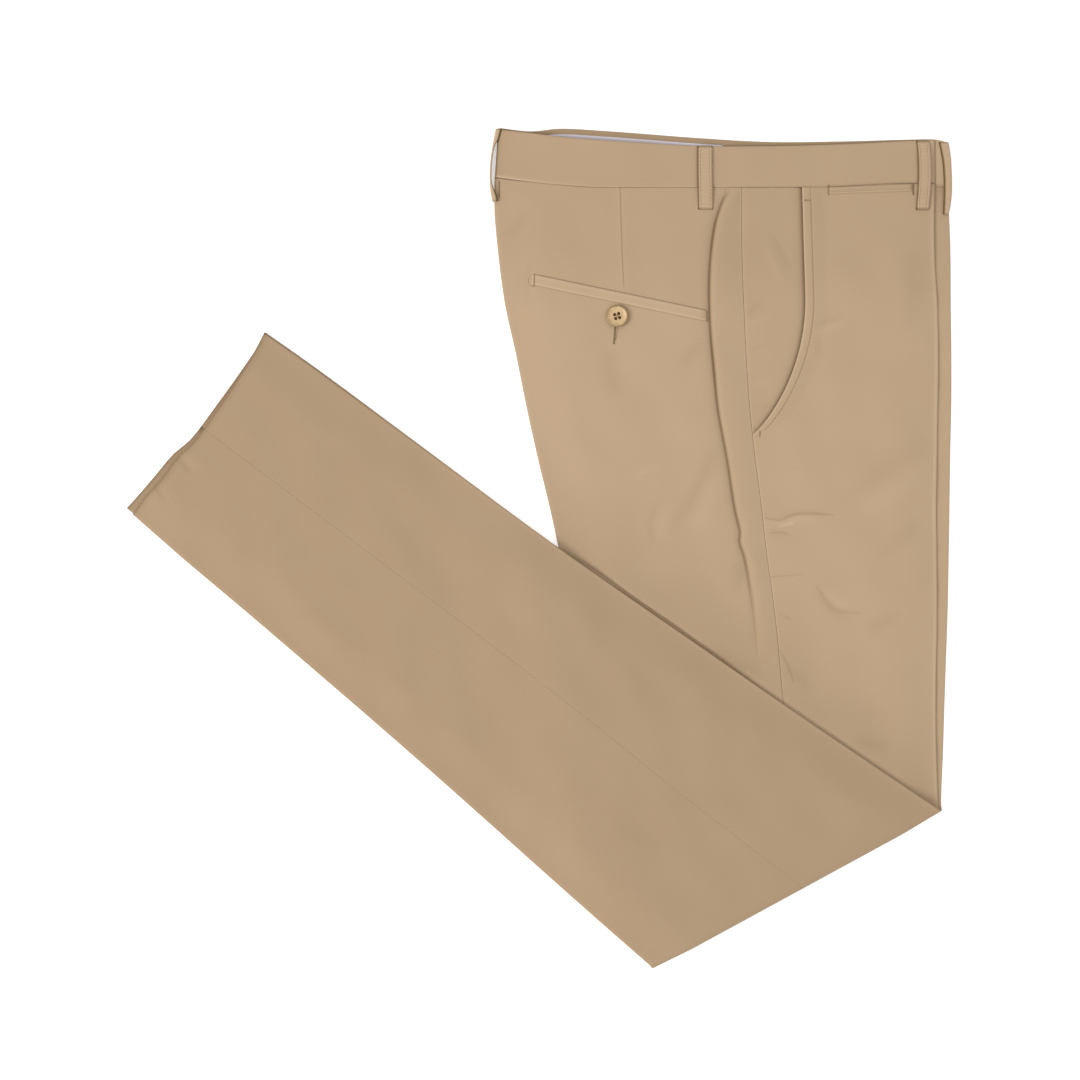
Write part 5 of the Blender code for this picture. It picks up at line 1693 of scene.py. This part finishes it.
# %% A tree for stitches
STITCH_INPUTS = (
    ("Geometry", "NodeSocketGeometry", None),
    ("Pitch", "NodeSocketFloat", 3.0 * MM),
    ("Stitch length", "NodeSocketFloat", 2.5 * MM),
    ("Thread width", "NodeSocketFloat", 0.5 * MM),
    ("Turn", "NodeSocketFloat", 0.0),
    ("Wander", "NodeSocketFloat", 0.06),
    ("Seed", "NodeSocketInt", 7),
    ("Thread", "NodeSocketMaterial", None),
)
THREAD_FLAT = 0.8  # a stitch's height, as a share of its width
BEAD = {"Segments": 6, "Rings": 5, "Radius": 0.5}
BEAD_FACES = BEAD["Segments"] * BEAD["Rings"]


def stitch_tree():
    tree = bpy.data.node_groups.new("run_of_stitches", "GeometryNodeTree")
    for name, kind, value in STITCH_INPUTS:
        socket = tree.interface.new_socket(name, in_out="INPUT", socket_type=kind)
        if value is not None:
            socket.default_value = value
    tree.interface.new_socket("Geometry", in_out="OUTPUT", socket_type="NodeSocketGeometry")
    given = add_node(tree, "NodeGroupInput").outputs
    line = add_node(tree, "GeometryNodeMeshToCurve", {"Mesh": given["Geometry"]}).outputs[0]
    cut = {"Curve": line, "Length": given["Pitch"]}
    steps = add_node(tree, "GeometryNodeResampleCurve", cut, mode="LENGTH").outputs[0]
    tangent = add_node(tree, "GeometryNodeInputTangent").outputs[0]
    least = add_node(tree, "ShaderNodeMath", {0: given["Wander"], 1: -1.0}, operation="MULTIPLY").outputs[0]
    limits = {2: least, 3: given["Wander"], 8: given["Seed"]}
    chance = add_node(tree, "FunctionNodeRandomValue", limits, data_type="FLOAT").outputs[1]
    angle = add_node(tree, "ShaderNodeMath", {0: given["Turn"], 1: chance}, operation="ADD").outputs[0]
    aim = {"Vector": tangent, "Angle": angle}
    heading = add_node(tree, "ShaderNodeVectorRotate", aim, rotation_type="Z_AXIS").outputs[0]
    upright = {"axis": "X", "pivot_axis": "Z"}
    turned = add_node(tree, "FunctionNodeAlignRotationToVector", {"Vector": heading}, **upright).outputs[0]
    thinner = {0: given["Thread width"], 1: THREAD_FLAT}
    flat = add_node(tree, "ShaderNodeMath", thinner, operation="MULTIPLY").outputs[0]
    sides = {"X": given["Stitch length"], "Y": given["Thread width"], "Z": flat}
    size = add_node(tree, "ShaderNodeCombineXYZ", sides).outputs[0]
    bead = add_node(tree, "GeometryNodeMeshUVSphere", BEAD).outputs["Mesh"]
    tipped = {"Geometry": bead, "Rotation": (0, math.pi / 2, 0)}
    lying = add_node(tree, "GeometryNodeTransform", tipped).outputs[0]
    beads = {"Points": steps, "Instance": lying, "Rotation": turned, "Scale": size}
    set_out = add_node(tree, "GeometryNodeInstanceOnPoints", beads).outputs[0]
    real = add_node(tree, "GeometryNodeRealizeInstances", {"Geometry": set_out}).outputs[0]
    smooth = add_node(tree, "GeometryNodeSetShadeSmooth", {"Geometry": real}).outputs[0]
    thread = {"Geometry": smooth, "Material": given["Thread"]}
    dyed = add_node(tree, "GeometryNodeSetMaterial", thread).outputs[0]
    add_node(tree, "NodeGroupOutput", {"Geometry": dyed})
    return tree


LINE_STEP = 1.5  # a line follows the cloth's height in steps of about this length, in mm
stitches_tree = stitch_tree()
sockets = [item for item in stitches_tree.interface.items_tree if item.in_out == "INPUT"]
socket_ids = {socket.name: socket.identifier for socket in sockets}


def sew(name, lines, trees, pitch, length, width, turn=0.0, lift=0.12, thread=tonal_thread, seed=7):
    """Stitches along lines given in mm, dropped on the top of the cloth."""
    vertices, edges = [], []
    for line in lines:
        line = np.array(line, float)
        steps = np.concatenate(([0.0], np.cumsum(np.linalg.norm(np.diff(line, axis=0), axis=1))))
        count = max(2, int(steps[-1] / LINE_STEP) + 1)
        along = np.linspace(0, steps[-1], count)
        xs, ys = np.interp(along, steps, line[:, 0]), np.interp(along, steps, line[:, 1])
        heights = np.array([top_at(trees, x, y) + lift for x, y in zip(xs, ys)])
        edges += [(len(vertices) + n, len(vertices) + n + 1) for n in range(count - 1)]
        vertices += (centred(xs, ys, heights) * MM).tolist()
    mesh = bpy.data.meshes.new(name + "_line")
    mesh.from_pydata(vertices, edges, [])
    path = new_object(name + "_line", mesh)
    sewing = path.modifiers.new("stitches", "NODES")
    sewing.node_group = stitches_tree
    values = {"Pitch": pitch * MM, "Stitch length": length * MM, "Thread width": width * MM}
    values.update({"Turn": turn, "Seed": seed, "Thread": thread})
    for key, value in values.items():
        sewing[socket_ids[key]] = value
    piece = finish_piece(plain_copy(path, name), "sewing_thread")
    print(f"{name}: {len(piece.data.polygons) // BEAD_FACES} stitches")


# %% Rows of stitches and bar tacks
ACROSS = math.pi / 2  # a bar tack's stitches lie across its line


def mouth_line(offset, first, last):
    """A line that keeps a distance from the pocket mouth, between two shares of the thigh's length."""
    beside = [thigh_row(t) for t in np.linspace(first, last, 60)]
    return [row.start + row.along * (row.mouth + offset) for row in beside]


def loop_lines(stations, width):
    """The two rows of stitches down a belt loop."""
    down = np.linspace(stations[0].y - 1.5, stations[-1].y + 1.5, 24)
    middle = read_curve(column_of(stations, "y", "x"), down)
    return [[(x + side * (width / 2 - LOOP_EDGE), y) for x, y in zip(middle, down)] for side in (-1, 1)]


front_trees = surface_under([panels["right", "front"], panels["right", "back"], pocket_facing])
seat_and_welt = surface_under([panels["right", "back"], back_welt])
front_and_welt = surface_under([panels["right", "front"], coin_welt])
loop_trees = surface_under([side_loop, front_loop, bands["right"]])

# Each row has the distance between its stitches, then a stitch's length and width, in mm
sew("pocket_mouth_topstitching", [mouth_line(STITCH_LINE, 0.022, 0.352)], front_trees, 3.0, 2.4, 0.5)
tacks = [[(214.8, 283.8), (221.0, 283.6)], [(180.4, 94.6), (180.0, 89.8)]]
sew("pocket_mouth_bar_tacks", tacks, front_trees, 0.55, 1.6, 0.5, ACROSS, 0.1)
tacks = [[(-4.6, 222.6), (-4.8, 213.6)], [(136.6, 193.2), (136.8, 184.4)]]
sew("back_pocket_bar_tacks", tacks, seat_and_welt, 0.6, 1.9, 0.5, ACROSS, 0.2)
arc = [(-5 - 4.6 * math.sin(a), 218.2 + 5.2 * math.cos(a)) for a in np.linspace(0.1, math.pi - 0.1, 14)]
sew("back_pocket_end_stitches", [arc], seat_and_welt, 1.6, 1.3, 0.35)
tacks = [[(236.6, 297.4), (236.6, 288.6)], [(306.0, 297.4), (306.0, 288.4)]]
sew("coin_pocket_bar_tacks", tacks, front_and_welt, 0.6, 1.7, 0.5, ACROSS, 0.2, hole_twist)

# The buttonhole: purl stitches packed along both sides of a slit that closes downwards, and its end tack
left_side = [(61.9, 182.0), (61.6, 178.0), (61.1, 172.0), (60.6, 166.8)]
sew("buttonhole_left_side", [left_side], seat_and_welt, 0.5, 2.0, 0.5, ACROSS, 0.1, hole_twist)
right_side = [(64.2, 182.0), (63.8, 178.0), (63.1, 173.5), (62.2, 169.5)]
sew("buttonhole_right_side", [right_side], seat_and_welt, 0.7, 1.2, 0.4, ACROSS, 0.06, hole_twist, seed=11)
end_tack = [(60.0, 166.4), (61.4, 166.2)]
sew("buttonhole_end_tack", [end_tack], seat_and_welt, 0.5, 1.1, 0.45, ACROSS, 0.1, hole_twist)

# The belt loops: a tack at the back one's foot, and two rows down each that lies on the upper side
loop_tack = [(-33.5, 299.4), (-33.4, 286.8)]
sew("back_loop_tack", [loop_tack], seat_and_welt, 0.6, 1.5, 0.5, ACROSS, 0.1, hole_twist)
loop_rows = loop_lines(SIDE_LOOP, SIDE_LOOP_WIDTH) + loop_lines(FRONT_LOOP, FRONT_LOOP_WIDTH)
sew("belt_loop_stitching", loop_rows, loop_trees, 2.8, 2.2, 0.45, lift=0.1)
